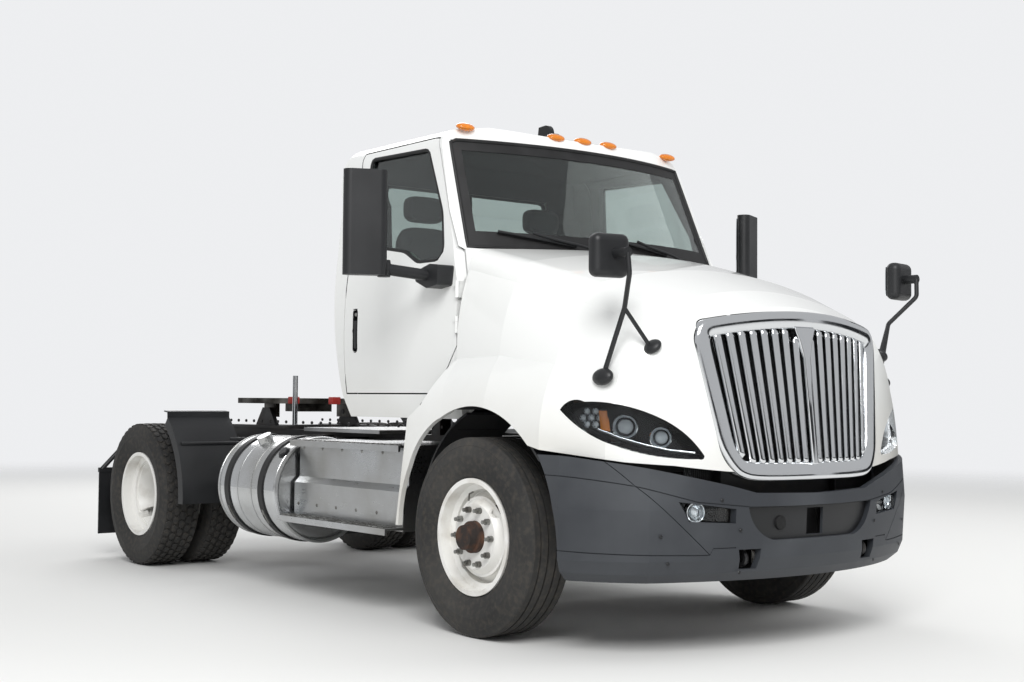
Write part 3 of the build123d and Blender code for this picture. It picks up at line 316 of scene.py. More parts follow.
@dataclass(frozen=True)
class WheelEnamel(PatchedFinish):
    """White powder coat on a pressed steel wheel, with brake dust in patches."""

    name: str = "wheel_enamel_white"
    colour: str = "#EAE9E5"
    worn: str = "#B9B3A8"
    roughness: float = 0.34
    rough_to: float = 0.6
    patch_mm: float = 80.0
    patch_from: float = 0.52
    patch_to: float = 0.85
    relief_mm: float = 6.0
    relief_depth_mm: float = 0.06


@dataclass(frozen=True)
class CastIron(PatchedFinish):
    """Sand-cast iron, rough, with brown rust over dark metal."""

    name: str = "cast_iron_rusted"
    colour: str = "#2E2724"
    worn: str = "#6E4A35"
    roughness: float = 0.75
    rough_to: float = 0.9
    metallic: float = 0.2
    patch_mm: float = 45.0
    patch_from: float = 0.4
    patch_to: float = 0.72
    relief_mm: float = 3.0
    relief_depth_mm: float = 0.4
    relief_strength: float = 0.7
    detail: float = 7.0


@dataclass(frozen=True)
class GreasedSteel(PatchedFinish):
    """Machined steel plate, bright where it wears, with dark grease in broad patches."""

    name: str = "greased_steel"
    colour: str = "#6E6C68"
    worn: str = "#2A2723"
    roughness: float = 0.34
    rough_to: float = 0.6
    metallic: float = 0.9
    patch_mm: float = 130.0
    patch_to: float = 0.62
    relief_mm: float = 12.0


@dataclass(frozen=True)
class SoftTrim(PatchedFinish):
    """Soft moulded cab trim with a pebble grain of 2.5 mm."""

    name: str = "soft_trim_grey"
    colour: str = "#2A2B2E"
    worn: str = "#333437"
    roughness: float = 0.80
    rough_to: float = 0.90
    patch_mm: float = 150.0
    relief_mm: float = 2.5
    cells: bool = True


@dataclass(frozen=True)
class SealRubber(PatchedFinish):
    """Extruded EPDM seal rubber, matt black and a little chalky in patches."""

    name: str = "seal_rubber"
    colour: str = "#121213"
    worn: str = "#222223"
    roughness: float = 0.5
    rough_to: float = 0.65
    patch_mm: float = 60.0
    relief_depth_mm: float = 0.05


@dataclass(frozen=True)
class PlatedChrome(Finish):
    """Chrome plating on a moulding: a mirror with a slight haze in patches."""

    name: str = "plated_chrome"
    colour: str = "#DCDEE0"
    roughness: float = 0.07
    metallic: float = 1.0

    def build(self) -> bpy.types.Material:
        """Makes the plating, hazier where dirt dulls it."""
        material, tree, shader, place = self.start()
        patch = add_node(tree, "ShaderNodeTexNoise", Vector=place, Scale=per_mm(60), Detail=3)
        add_node(tree, "ShaderNodeMapRange", None, {"Result": shader["Roughness"]},
                 Value=patch.outputs["Fac"], From_Min=0.35, From_Max=0.75, To_Min=self.roughness,
                 To_Max=self.roughness + 0.12)
        return material


@dataclass(frozen=True)
class RolledAluminium(Finish):
    """Rolled aluminium sheet, bright, with fine lines along the rolling and a dull bloom."""

    name: str = "rolled_aluminium"
    colour: str = "#C6C8CA"
    bloom: str = "#A9A8A4"
    roughness: float = 0.24
    metallic: float = 1.0
    line_mm: float = 4.0
    run: float = 12.0

    def build(self) -> bpy.types.Material:
        """Makes the sheet with rolling lines in roughness and bump."""
        material, tree, shader, place = self.start()
        mapped = add_node(tree, "ShaderNodeMapping", Vector=place, Scale=(1.0, 1 / self.run, 1.0))
        lines = add_node(tree, "ShaderNodeTexNoise", Vector=mapped.outputs["Vector"],
                         Scale=per_mm(self.line_mm), Detail=3)
        patch = add_node(tree, "ShaderNodeTexNoise", Vector=place, Scale=per_mm(160), Detail=4)
        both = add_node(tree, "ShaderNodeMath", {"operation": "MULTIPLY"}, i0=lines.outputs["Fac"],
                        i1=patch.outputs["Fac"])
        add_node(tree, "ShaderNodeMapRange", None, {"Result": shader["Roughness"]},
                 Value=both.outputs["Value"], From_Min=0.1, From_Max=0.45, To_Min=self.roughness,
                 To_Max=self.roughness + 0.2)
        add_node(tree, "ShaderNodeValToRGB", {"stops": [(0.3, self.colour), (0.8, self.bloom)]},
                 {"Color": shader["Base Color"]}, Fac=patch.outputs["Fac"])
        add_node(tree, "ShaderNodeBump", None, {"Normal": shader["Normal"]}, Height=lines.outputs["Fac"],
                 Distance=0.05 * MM, Strength=0.4)
        return material


@dataclass(frozen=True)
class SafetyGlass(Finish):
    """Laminated float glass with a light green-grey tint."""

    name: str = "safety_glass"
    colour: str = "#C9D3D0"
    roughness: float = 0.0

    def build(self) -> bpy.types.Material:
        """Makes clear, tinted glass."""
        material, _, shader, _ = self.start()
        shader["Transmission Weight"].default_value = 1.0
        shader["IOR"].default_value = 1.5
        return material


@dataclass(frozen=True)
class MouldedLens(Finish):
    """Moulded acrylic or polycarbonate lens, coloured through, with optic ribs.

    A clear cover bends light as little as a thin skin does, and shines by its hard coat.
    """

    name: str = "moulded_lens"
    colour: str = "#D9DCDD"
    roughness: float = 0.06
    clear: float = 0.0
    rib_mm: float = 12.0
    bend: float = 1.49

    def build(self) -> bpy.types.Material:
        """Makes the lens with its ribs, where it has any."""
        material, tree, shader, place = self.start()
        shader["Transmission Weight"].default_value = self.clear
        shader["IOR"].default_value = self.bend
        shader["Coat Weight"].default_value = 0.5
        if self.rib_mm > 0:
            wave = add_node(tree, "ShaderNodeTexWave", Vector=place, Scale=per_wave(self.rib_mm))
            add_node(tree, "ShaderNodeBump", None, {"Normal": shader["Normal"]}, Height=wave.outputs["Fac"],
                     Distance=0.2 * MM, Strength=0.5)
        return material


@dataclass(frozen=True)
class WovenCloth(Finish):
    """Flat-woven polyester seat cloth, dark grey, drawn at 3 mm a thread so that it shows."""

    name: str = "woven_seat_cloth"
    colour: str = "#303135"
    light: str = "#45474C"
    roughness: float = 0.9
    thread_mm: float = 3.0

    def build(self) -> bpy.types.Material:
        """Makes the cloth from two crossed waves."""
        material, tree, shader, place = self.start()
        scale = per_wave(self.thread_mm)
        warp = add_node(tree, "ShaderNodeTexWave", {"bands_direction": "X"}, Vector=place, Scale=scale)
        weft = add_node(tree, "ShaderNodeTexWave", {"bands_direction": "Z"}, Vector=place, Scale=scale)
        both = add_node(tree, "ShaderNodeMath", {"operation": "MULTIPLY"}, i0=warp.outputs["Fac"],
                        i1=weft.outputs["Fac"])
        add_node(tree, "ShaderNodeValToRGB", {"stops": [(0.1, self.colour), (0.8, self.light)]},
                 {"Color": shader["Base Color"]}, Fac=both.outputs["Value"])
        shader["Sheen Weight"].default_value = 0.3
        add_node(tree, "ShaderNodeBump", None, {"Normal": shader["Normal"]}, Height=both.outputs["Value"],
                 Distance=0.4 * MM, Strength=0.6)
        return material


@dataclass(frozen=True)
class CoreFins(Finish):
    """Radiator core: black fins 12 mm apart, drawn that coarse so that they show."""

    name: str = "radiator_core"
    colour: str = "#0E0E0F"
    light: str = "#2C2D2F"
    roughness: float = 0.6
    fin_mm: float = 12.0

    def build(self) -> bpy.types.Material:
        """Makes the core from crossed lines."""
        material, tree, shader, place = self.start()
        wave = add_node(tree, "ShaderNodeTexWave", {"bands_direction": "X"}, Vector=place,
                        Scale=per_wave(self.fin_mm))
        add_node(tree, "ShaderNodeValToRGB", {"stops": [(0.35, self.colour), (0.9, self.light)]},
                 {"Color": shader["Base Color"]}, Fac=wave.outputs["Fac"])
        add_node(tree, "ShaderNodeBump", None, {"Normal": shader["Normal"]}, Height=wave.outputs["Fac"],
                 Distance=2 * MM, Strength=0.8)
        return material


@dataclass
class Wardrobe:
    """All finishes, each made once."""

    made: dict[str, bpy.types.Material] = field(default_factory=dict)

    def get(self, finish: Finish) -> bpy.types.Material:
        """Returns the finish's material, making it on first use."""
        if finish.name not in self.made:
            self.made[finish.name] = finish.build()
        return self.made[finish.name]


WARDROBE = Wardrobe()

ENAMEL = CabEnamel()
MOULDING = GrainedMoulding()
BLACK_MOULDING = GrainedMoulding(name="black_moulding", colour="#17181A", worn="#242527", roughness=0.4,
                                 rough_to=0.55, relief_mm=2.0)
# Near-black moulding: real colour of the lamp housings, the plug and one air line; painted shade inside the
# hood and bumper, on the shroud and behind the bumper's holes.
BLACK_AND_PAINTED_SHADE = GrainedMoulding(name="shadow_moulding", colour="#0B0B0C", worn="#141415", roughness=0.7,
                             rough_to=0.8)
CHASSIS = ChassisPaint()
CHROME = PlatedChrome()
ALUMINIUM = RolledAluminium()
TANK_SHEET = RolledAluminium(name="polished_tank_sheet", colour="#D6D8DA", bloom="#B4B4B1", roughness=0.12,
                             line_mm=6.0)
TYRE = TyreRubber()
WHEEL = WheelEnamel()
IRON = CastIron()
STEEL = GreasedSteel()
BRIGHT_STEEL = GreasedSteel(name="zinc_plated_steel", colour="#9A9A97", worn="#6C6A66", roughness=0.3,
                            rough_to=0.45, patch_mm=30.0)
RED_PAINT = ChassisPaint(name="red_paint", colour="#A32A22", worn="#6B2A22", roughness=0.45)
GLASS = SafetyGlass()
SIDE_GLASS = SafetyGlass(name="door_glass", colour="#B9C4C1")
CLEAR_LENS = MouldedLens(name="clear_lens", colour="#E4E8EA", roughness=0.005, clear=1.0, rib_mm=0.0,
                         bend=1.06)
LED_LENS = MouldedLens(name="frosted_lens", colour="#E9EDF0", clear=0.2, rib_mm=8.0)
AMBER = MouldedLens(name="amber_lens", colour="#E8861A", clear=0.2)
RED = MouldedLens(name="red_lens", colour="#A3141A", clear=0.1)
TRIM = SoftTrim()
CLOTH = WovenCloth()
SEAL = SealRubber()
CORE = CoreFins()
MIRROR = PlatedChrome(name="silvered_mirror_glass", colour="#C9CED2", roughness=0.02)

NODE_FINISHES: dict[str, Finish] = {
    "frame": CHASSIS, "front_axle": IRON, "front_springs": CHASSIS, "rear_axle": IRON,
    "rear_suspension": CHASSIS, "powertrain": IRON, "radiator": CORE, "bumper": MOULDING,
    "bumper_brackets": CHASSIS, "fog_lamps": CLEAR_LENS, "splash_guards": BLACK_MOULDING, "cab": ENAMEL,
    "windscreen": GLASS, "back_window": GLASS, "dashboard": TRIM, "seat_driver": CLOTH,
    "seat_passenger": CLOTH, "roof_lamps": AMBER, "roof_antenna": BLACK_MOULDING, "fuel_tanks": TANK_SHEET,
    "tank_straps": SEAL, "step_boxes": ALUMINIUM, "deck_plate": ALUMINIUM, "quarter_fenders": BLACK_MOULDING,
    "mudflaps": BLACK_MOULDING, "tail_lamps": RED, "fifth_wheel_base": CHASSIS, "hood_hinge": CHASSIS,
    "exhaust": STEEL, "cab_mounts": CHASSIS, "door_hinges": ENAMEL, "hood": ENAMEL, "headlamps": CLEAR_LENS,
    "grille_surround": CHROME, "grille_bars": CHROME, "arch_liners": BLACK_MOULDING,
    "hood_mirrors": BLACK_MOULDING, "door_left": ENAMEL, "door_right": ENAMEL, "door_glass_left": SIDE_GLASS,
    "door_glass_right": SIDE_GLASS, "door_mirror_left": BLACK_MOULDING, "door_mirror_right": BLACK_MOULDING,
    "knuckle_left": IRON, "knuckle_right": IRON, "tie_rod": CHASSIS, "front_tyre_left": TYRE,
    "front_tyre_right": TYRE, "rear_tyres_left": TYRE, "rear_tyres_right": TYRE, "front_wheel_left": WHEEL,
    "front_wheel_right": WHEEL, "rear_wheels_left": WHEEL, "rear_wheels_right": WHEEL,
    "steering_wheel": TRIM, "fifth_wheel_plate": STEEL,
}


def clear_selection() -> None:
    """Leaves Edit mode and selects nothing."""
    if bpy.context.object is not None and bpy.context.object.mode != "OBJECT":
        bpy.ops.object.mode_set(mode="OBJECT")
    bpy.ops.object.select_all(action="DESELECT")


def active(shown: bpy.types.Object) -> bpy.types.Object:
    """Makes an object the only one selected."""
    clear_selection()
    shown.select_set(True)
    bpy.context.view_layer.objects.active = shown
    return shown


def own(name: str) -> bpy.types.Object:
    """Names the active object and puts its place into its mesh."""
    shown = bpy.context.object
    shown.name = name
    shown.data.name = name
    bpy.ops.object.transform_apply(location=True, rotation=True, scale=True)
    return shown


def block(name: str, low: Iterable[float], high: Iterable[float]) -> bpy.types.Object:
    """Adds a box between two corners, as a start."""
    low, high = Vector(low), Vector(high)
    clear_selection()
    bpy.ops.mesh.primitive_cube_add(size=1, location=(low + high) / 2)
    bpy.context.object.scale = high - low
    return own(name)


def bar(name: str, start: Iterable[float], end: Iterable[float], radius: float,
        sides: int = 16) -> bpy.types.Object:
    """Adds a round or many-sided bar from one point to another."""
    start, end = Vector(start), Vector(end)
    clear_selection()
    bpy.ops.mesh.primitive_cylinder_add(vertices=sides, radius=radius, depth=(end - start).length,
                                        location=(start + end) / 2)
    shown = bpy.context.object
    shown.rotation_mode = "QUATERNION"
    shown.rotation_quaternion = (end - start).to_track_quat("Z", "Y")
    return own(name)


def drawn(points: list[tuple[float, float, float]]) -> bpy.types.Object:
    """Draws a run of edges through points, extruded point by point from one vertex."""
    clear_selection()
    bpy.ops.mesh.primitive_plane_add(size=1)
    shown = bpy.context.object
    bpy.ops.object.mode_set(mode="EDIT")
    bpy.ops.mesh.select_all(action="SELECT")
    bpy.ops.mesh.merge(type="CENTER")
    here = Vector(points[0])
    bpy.ops.transform.translate(value=here)
    for point in points[1:]:
        bpy.ops.mesh.extrude_region_move(TRANSFORM_OT_translate={"value": Vector(point) - here})
        here = Vector(point)
    bpy.ops.mesh.select_all(action="SELECT")
    return shown


def turned(name: str, profile: list[tuple[float, float]], at: Iterable[float], axis: Iterable[float],
           steps: int = 48) -> bpy.types.Object:
    """Spins a profile about an axis.

    Args:
        name: The piece's name.
        profile: (radius, distance along the axis) points.
        at: A point on the axis, from which the distances run.
        axis: The axis' direction.
        steps: Segments round.

    Returns:
        The new object, its normals outwards.
    """
    shown = drawn([(radius, 0, along) for radius, along in profile])
    bpy.ops.mesh.spin(steps=steps, angle=2 * math.pi, center=(0, 0, 0), axis=(0, 0, 1))
    bpy.ops.mesh.select_all(action="SELECT")
    bpy.ops.mesh.remove_doubles(threshold=1e-5)
    bpy.ops.mesh.normals_make_consistent(inside=False)
    bpy.ops.object.mode_set(mode="OBJECT")
    shown.rotation_mode = "QUATERNION"
    shown.rotation_quaternion = Vector(axis).to_track_quat("Z", "Y")
    shown.location = Vector(at)
    return own(name)


def prism(name: str, plane: Plane, points: list[tuple[float, float]], low: float, high: float,
          rim: float = 0.0, sunk: float = 0.0) -> bpy.types.Object:
    """Extrudes an outline, and can sink its far face inside a rim to make a tray.

    Args:
        name: The piece's name.
        plane: The plane that the outline is drawn in.
        points: The outline's corners in that plane.
        low: Where the extrusion starts along the plane's normal.
        high: Where it ends.
        rim: Width of the rim left round the sunk face; 0 for none.
        sunk: How far the inset face goes back.

    Returns:
        The new object, closed, its normals outwards.
    """
    a, b, c = plane.value
    corners = []
    for u, v in points:
        corner = [0.0, 0.0, 0.0]
        corner[a], corner[b], corner[c] = u, v, low
        corners.append(tuple(corner))
    push = [0.0, 0.0, 0.0]
    push[c] = high - low
    drawn(corners)
    bpy.ops.mesh.edge_face_add()
    bpy.ops.mesh.extrude_region_move(TRANSFORM_OT_translate={"value": push})
    if rim > 0:
        bpy.ops.mesh.inset(thickness=rim)
        push[c] = -sunk if high > low else sunk
        bpy.ops.mesh.extrude_region_move(TRANSFORM_OT_translate={"value": push})
    bpy.ops.mesh.select_all(action="SELECT")
    bpy.ops.mesh.remove_doubles(threshold=1e-5)
    bpy.ops.mesh.normals_make_consistent(inside=False)
    bpy.ops.object.mode_set(mode="OBJECT")
    return own(name)


def rectangle(low: tuple[float, float], high: tuple[float, float]) -> list[tuple[float, float]]:
    """Corners of the rectangle between a lowest and a highest one, for prism."""
    return [low, (high[0], low[1]), high, (low[0], high[1])]


def draped(name: str, columns: int, rows: int, place: Callable[[float, float], Iterable[float]],
           wall: float = 0.0, closed: bool = False) -> bpy.types.Object:
    """Lays a grid over a surface that a function gives.

    Args:
        name: The piece's name.
        columns: Faces along u.
        rows: Faces along v.
        place: The surface's point at u and v, each from 0 to 1.
        wall: Thickness given to the sheet, inwards; 0 for none.
        closed: Whether u's two ends meet.

    Returns:
        The new object.
    """
    clear_selection()
    bpy.ops.mesh.primitive_grid_add(x_subdivisions=columns, y_subdivisions=rows, size=1)
    shown = bpy.context.object
    for vertex in shown.data.vertices:
        vertex.co = Vector(place(vertex.co.x + 0.5, vertex.co.y + 0.5))
    bpy.ops.object.mode_set(mode="EDIT")
    bpy.ops.mesh.select_all(action="SELECT")
    if closed:
        bpy.ops.mesh.remove_doubles(threshold=1e-5)
    bpy.ops.object.mode_set(mode="OBJECT")
    if wall != 0:
        modified(shown, "SOLIDIFY", thickness=wall, offset=-1)
    return own(name)


def tube(name: str, points: list[Iterable[float]], radius: float, closed: bool = False,
         smooth: bool = False) -> bpy.types.Object:
    """Sweeps a round section along points.

    Args:
        name: The piece's name.
        points: Points of the run.
        radius: The section's radius.
        closed: Whether the run ends where it starts.
        smooth: Whether the run is a smooth curve through near the points.

    Returns:
        The new object, a mesh.
    """
    clear_selection()
    data = bpy.data.curves.new(name, "CURVE")
    data.dimensions = "3D"
    spline = data.splines.new("NURBS" if smooth else "POLY")
    spline.points.add(len(points) - 1)
    for made, point in zip(spline.points, points):
        made.co = (*Vector(point), 1.0)
    spline.use_cyclic_u = closed
    if smooth:
        spline.order_u = 3
        spline.use_endpoint_u = not closed
    data.bevel_depth = radius
    data.bevel_resolution = 3
    data.use_fill_caps = not closed
    shown = bpy.data.objects.new(name, data)
    bpy.context.scene.collection.objects.link(shown)
    active(shown)
    bpy.ops.object.convert(target="MESH")
    return own(name)


def modified(shown: bpy.types.Object, kind: str, **settings: object) -> bpy.types.Object:
    """Adds a modifier with its settings and applies it."""
    active(shown)
    made = shown.modifiers.new(kind.lower(), kind)
    for name, value in settings.items():
        setattr(made, name, value)
    bpy.ops.object.modifier_apply(modifier=made.name)
    return shown


def bevel_edges(shown: bpy.types.Object, width: float, segments: int = 2) -> bpy.types.Object:
    """Rounds an object's sharp edges."""
    return modified(shown, "BEVEL", width=width, segments=segments, limit_method="ANGLE")


def joined(name: str, parts: list[bpy.types.Object]) -> bpy.types.Object:
    """Joins objects into one."""
    clear_selection()
    for part in parts:
        part.select_set(True)
    bpy.context.view_layer.objects.active = parts[0]
    if len(parts) > 1:
        bpy.ops.object.join()
    return own(name)


def copied(shown: bpy.types.Object, move: Callable[[Vector], Vector]) -> bpy.types.Object:
    """Copies an object with its own mesh and moves each of the copy's points."""
    made = shown.copy()
    made.data = shown.data.copy()
    bpy.context.scene.collection.objects.link(made)
    for vertex in made.data.vertices:
        vertex.co = move(vertex.co)
    return made


def turned_copies(shown: bpy.types.Object, count: int, at: Vector, axis: Vector,
                  name: str) -> bpy.types.Object:
    """Repeats an object round an axis and joins the copies."""
    parts = [shown]
    for k in range(1, count):
        turn = Matrix.Rotation(2 * math.pi * k / count, 4, axis)
        parts.append(copied(shown, lambda co, turn=turn: at + turn @ (co - at)))
    return joined(name, parts)


def other_side(shown: bpy.types.Object, name: str) -> bpy.types.Object:
    """Copies an object across the vehicle's middle, its faces turned out again."""
    made = copied(shown, lambda co: Vector((-co.x, co.y, co.z)))
    made.name = name
    made.data.name = name
    made.data.flip_normals()
    return made


def dress(shown: bpy.types.Object, finish: Finish, body: str,
          smooth_deg: float = 35.0) -> bpy.types.Object:
    """Gives a piece its finish, shading and body.

    Args:
        shown: The piece.
        finish: Its finish.
        body: The CAD body it rides on.
        smooth_deg: Edges flatter than this shade smooth.

    Returns:
        The piece.
    """
    active(shown)
    shown.data.materials.clear()
    shown.data.materials.append(WARDROBE.get(finish))
    bpy.ops.object.shade_smooth_by_angle(angle=math.radians(smooth_deg))
    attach(shown, body)
    LOG.info("%s on %s: %d faces", shown.name, body, len(shown.data.polygons))
    return shown


def dress_both(shown: bpy.types.Object, finish: Finish, body: str,
               smooth_deg: float = 35.0) -> None:
    """Dresses a left piece and its mirror image, on the same body or each on its side's own."""
    base = shown.name
    mate = other_side(shown, f"{base}_right")
    shown.name = f"{base}_left"
    dress(shown, finish, body.replace("SIDE", "left"), smooth_deg)
    dress(mate, finish, body.replace("SIDE", "right"), smooth_deg)


def paint_faces(shown: bpy.types.Object, finish: Finish, chosen: Callable[[Vector, Vector], bool]) -> None:
    """Gives another finish to the faces of a CAD node that a test on centre and normal picks."""
    shown.data.materials.append(WARDROBE.get(finish))
    index = len(shown.data.materials) - 1
    for face in shown.data.polygons:
        if chosen(face.center, face.normal):
            face.material_index = index


def dress_nodes(frame: dict) -> None:
    """Gives every CAD node its finish.
    """
    for name, finish in NODE_FINISHES.items():
        shown = frame["nodes"][name]
        shown.data.materials.clear()
        shown.data.materials.append(WARDROBE.get(finish))


def circle_through(a: tuple[float, float], b: tuple[float, float],
                   c: tuple[float, float]) -> tuple[float, float, float]:
    """Centre and radius of the circle through three points."""
    (ax, ay), (bx, by), (cx, cy) = a, b, c
    d = 2 * (ax * (by - cy) + bx * (cy - ay) + cx * (ay - by))
    a2, b2, c2 = ax * ax + ay * ay, bx * bx + by * by, cx * cx + cy * cy
    ux = (a2 * (by - cy) + b2 * (cy - ay) + c2 * (ay - by)) / d
    uy = (a2 * (cx - bx) + b2 * (ax - cx) + c2 * (bx - ax)) / d
    return ux, uy, math.hypot(ax - ux, ay - uy)


@dataclass(frozen=True)
class BodyLines:
    """Surfaces of the cab and hood that fine pieces lie on, as the model's own sizes give them."""

    screen_foot: float = 0.190
    screen_rake: float = 0.435
    screen_bow: float = 0.315
    cowl_z: float = 2.030
    nose_front: float = -1.266
    nose_lean: float = 0.104
    nose_z: float = 0.700

    def screen(self, x: float, z: float, inside: float = 0.0) -> Vector:
        """The windscreen's surface at x and z, this far inside the cab's skin."""
        radius = (1.2 ** 2 + self.screen_bow ** 2) / (2 * self.screen_bow)
        bow = radius - math.sqrt(radius ** 2 - x ** 2)
        y = self.screen_foot + inside * 1.1 + bow + self.screen_rake * (z - self.cowl_z)
        return Vector((x, FRONT_AXLE_Y + y, z))

    def nose(self, x: float, z: float, inside: float = 0.0) -> Vector:
        """The nose's surface at x and z, this far inside it."""
        front = self.nose_front + inside
        cx, cy, r = circle_through((1.3, front + 0.46), (0.72, front + 0.13), (0.0, front))
        side = abs(x)
        y = cy - math.sqrt(max(r ** 2 - (side - cx) ** 2, 0.0)) if cy > front else front
        return Vector((x, FRONT_AXLE_Y + y + self.nose_lean * (z - self.nose_z), z))

    def flank(self, z: float, inside: float = 0.0) -> float:
        """Half the cab's width at this height, between the sill and the roof's edge."""
        if z <= 2.06:
            cx, cz, r = circle_through((1.0, 1.1), (1.046, 1.5), (1.005, 2.06))
            return cx + math.sqrt(r ** 2 - (z - cz) ** 2) - inside
        return 1.005 + (0.935 - 1.005) * (z - 2.06) / (2.6 - 2.06) - inside


LINES = BodyLines()


@dataclass
class Glazing:
    """Windscreen band and seal, wipers, and the seals of the side and back windows."""

    half_low: float = 0.935
    half_high: float = 0.880
    low_z: float = 2.034
    high_z: float = 2.662
    band: float = 0.055
    foot_share: float = 1.7
    head_share: float = 1.1
    side_points: tuple[tuple[float, float], ...] = (
        (500, 2.010), (552, 2.235), (764, 2.618), (1352, 2.632), (1398, 2.110), (1060, 2.068), (884, 2.040),
        (740, 1.968), (540, 1.968))
    back_half: float = 0.640
    back_low: float = 2.000
    back_high: float = 2.540

    def at(self, u: float, v: float, inside: float) -> Vector:
        """The screen's point at u and v, each from 0 to 1 over the opening."""
        z = self.low_z + (self.high_z - self.low_z) * v
        half = self.half_low + (self.half_high - self.half_low) * v
        return LINES.screen((2 * u - 1) * half, z, inside)

    def ring(self, u: float, v: float) -> Vector:
        """The black band's point: u goes round the opening, v from its edge inwards."""
        wide, tall = self.half_low + self.half_high, self.high_z - self.low_z
        lap = (u % 1.0) * 2 * (wide + tall)
        inset_x, inset_z = self.band * v / wide, self.band * v / tall
        if lap <= wide:
            a, b = lap / wide, 0.0
        elif lap <= wide + tall:
            a, b = 1.0, (lap - wide) / tall
        elif lap <= 2 * wide + tall:
            a, b = 1 - (lap - wide - tall) / wide, 1.0
        else:
            a, b = 0.0, 1 - (lap - 2 * wide - tall) / tall
        low, high = inset_z * self.foot_share, 1 - inset_z * self.head_share
        return self.at(min(max(a, inset_x), 1 - inset_x), min(max(b, low), high), 0.0045)

    def build(self) -> None:
        """Makes the band, the seals, the window's divider and the wipers."""
        band = draped("screen_band", 150, 2, self.ring, 0.0015, True)
        dress(band, SEAL, "chassis")
        edge = [self.ring(k / 96, 0.0) for k in range(96)]
        dress(tube("screen_seal", edge, 0.011, True), SEAL, "chassis", 60)
        side = [(LINES.flank(z, 0.008), from_axle(y), z) for y, z in self.side_points]
        rounded = self.rounded(side, 0.03)
        dress_both(tube("door_window_seal", rounded, 0.012, True), SEAL, "door_SIDE", 60)
        back = []
        for x, z in ((-1, 0), (1, 0), (1, 1), (-1, 1)):
            height = self.back_low + (self.back_high - self.back_low) * z
            back.append((x * self.back_half, from_axle(1612 + 33 * z), height))
        dress(tube("back_window_seal", self.rounded(back, 0.05), 0.016, True), SEAL, "chassis",
              60)
        divider = bevel_edges(block("back_window_divider", (-0.022, from_axle(1600), self.back_low),
                                    (0.022, from_axle(1618), self.back_high)), 0.004)
        for vertex in divider.data.vertices:
            vertex.co.y += 0.033 * (vertex.co.z - self.back_low) / (self.back_high - self.back_low)
        dress(divider, SEAL, "chassis")
        self.wipers()

    @staticmethod
    def rounded(corners: list[tuple[float, float, float]], cut: float) -> list[Vector]:
        """Rounds a closed run's corners with three points each."""
        run = []
        count = len(corners)
        for k, corner in enumerate(corners):
            here, before, after = Vector(corner), Vector(corners[k - 1]), Vector(corners[(k + 1) % count])
            a = here + (before - here).normalized() * cut
            b = here + (after - here).normalized() * cut
            run += [a, here * 0.5 + (a + b) * 0.25, b]
        return run

    def wipers(self) -> None:
        """Makes two wipers at rest along the screen's foot, with arms, blades and pivots."""
        for k, (pivot_x, tip_u, tip_v) in enumerate(((0.60, 0.47, 0.15), (-0.12, 0.07, 0.15))):
            pivot = LINES.screen(pivot_x, self.low_z - 0.010, -0.018)
            u = (pivot_x / self.half_low + 1) / 2
            mid = self.at((u + tip_u) / 2, 0.10, -0.030)
            hub = turned(f"wiper_pivot_{k}", [(0.0, -0.02), (0.022, -0.02), (0.022, 0.012), (0.014, 0.02),
                                              (0.0, 0.02)], pivot, (0, -1, 0.5), 20)
            arm = tube(f"wiper_arm_{k}", [pivot, self.at(u - 0.06, 0.05, -0.034), mid,
                                          self.at((u + 2 * tip_u) / 3, tip_v, -0.030)], 0.008, smooth=True)
            run = [self.at(u - 0.10 + (tip_u + 0.02 - u + 0.10) * t, 0.05 + (tip_v - 0.05) * t, -0.014)
                   for t in (0, 0.2, 0.4, 0.6, 0.8, 1.0)]
            blade = tube(f"wiper_blade_{k}", run, 0.0085)
            rubber = tube(f"wiper_rubber_{k}", [p + Vector((0, 0.010, -0.006)) for p in run], 0.004)
            shown = joined(f"wiper_{k}", [hub, arm, blade, rubber])
            dress(shown, BLACK_MOULDING, "chassis")


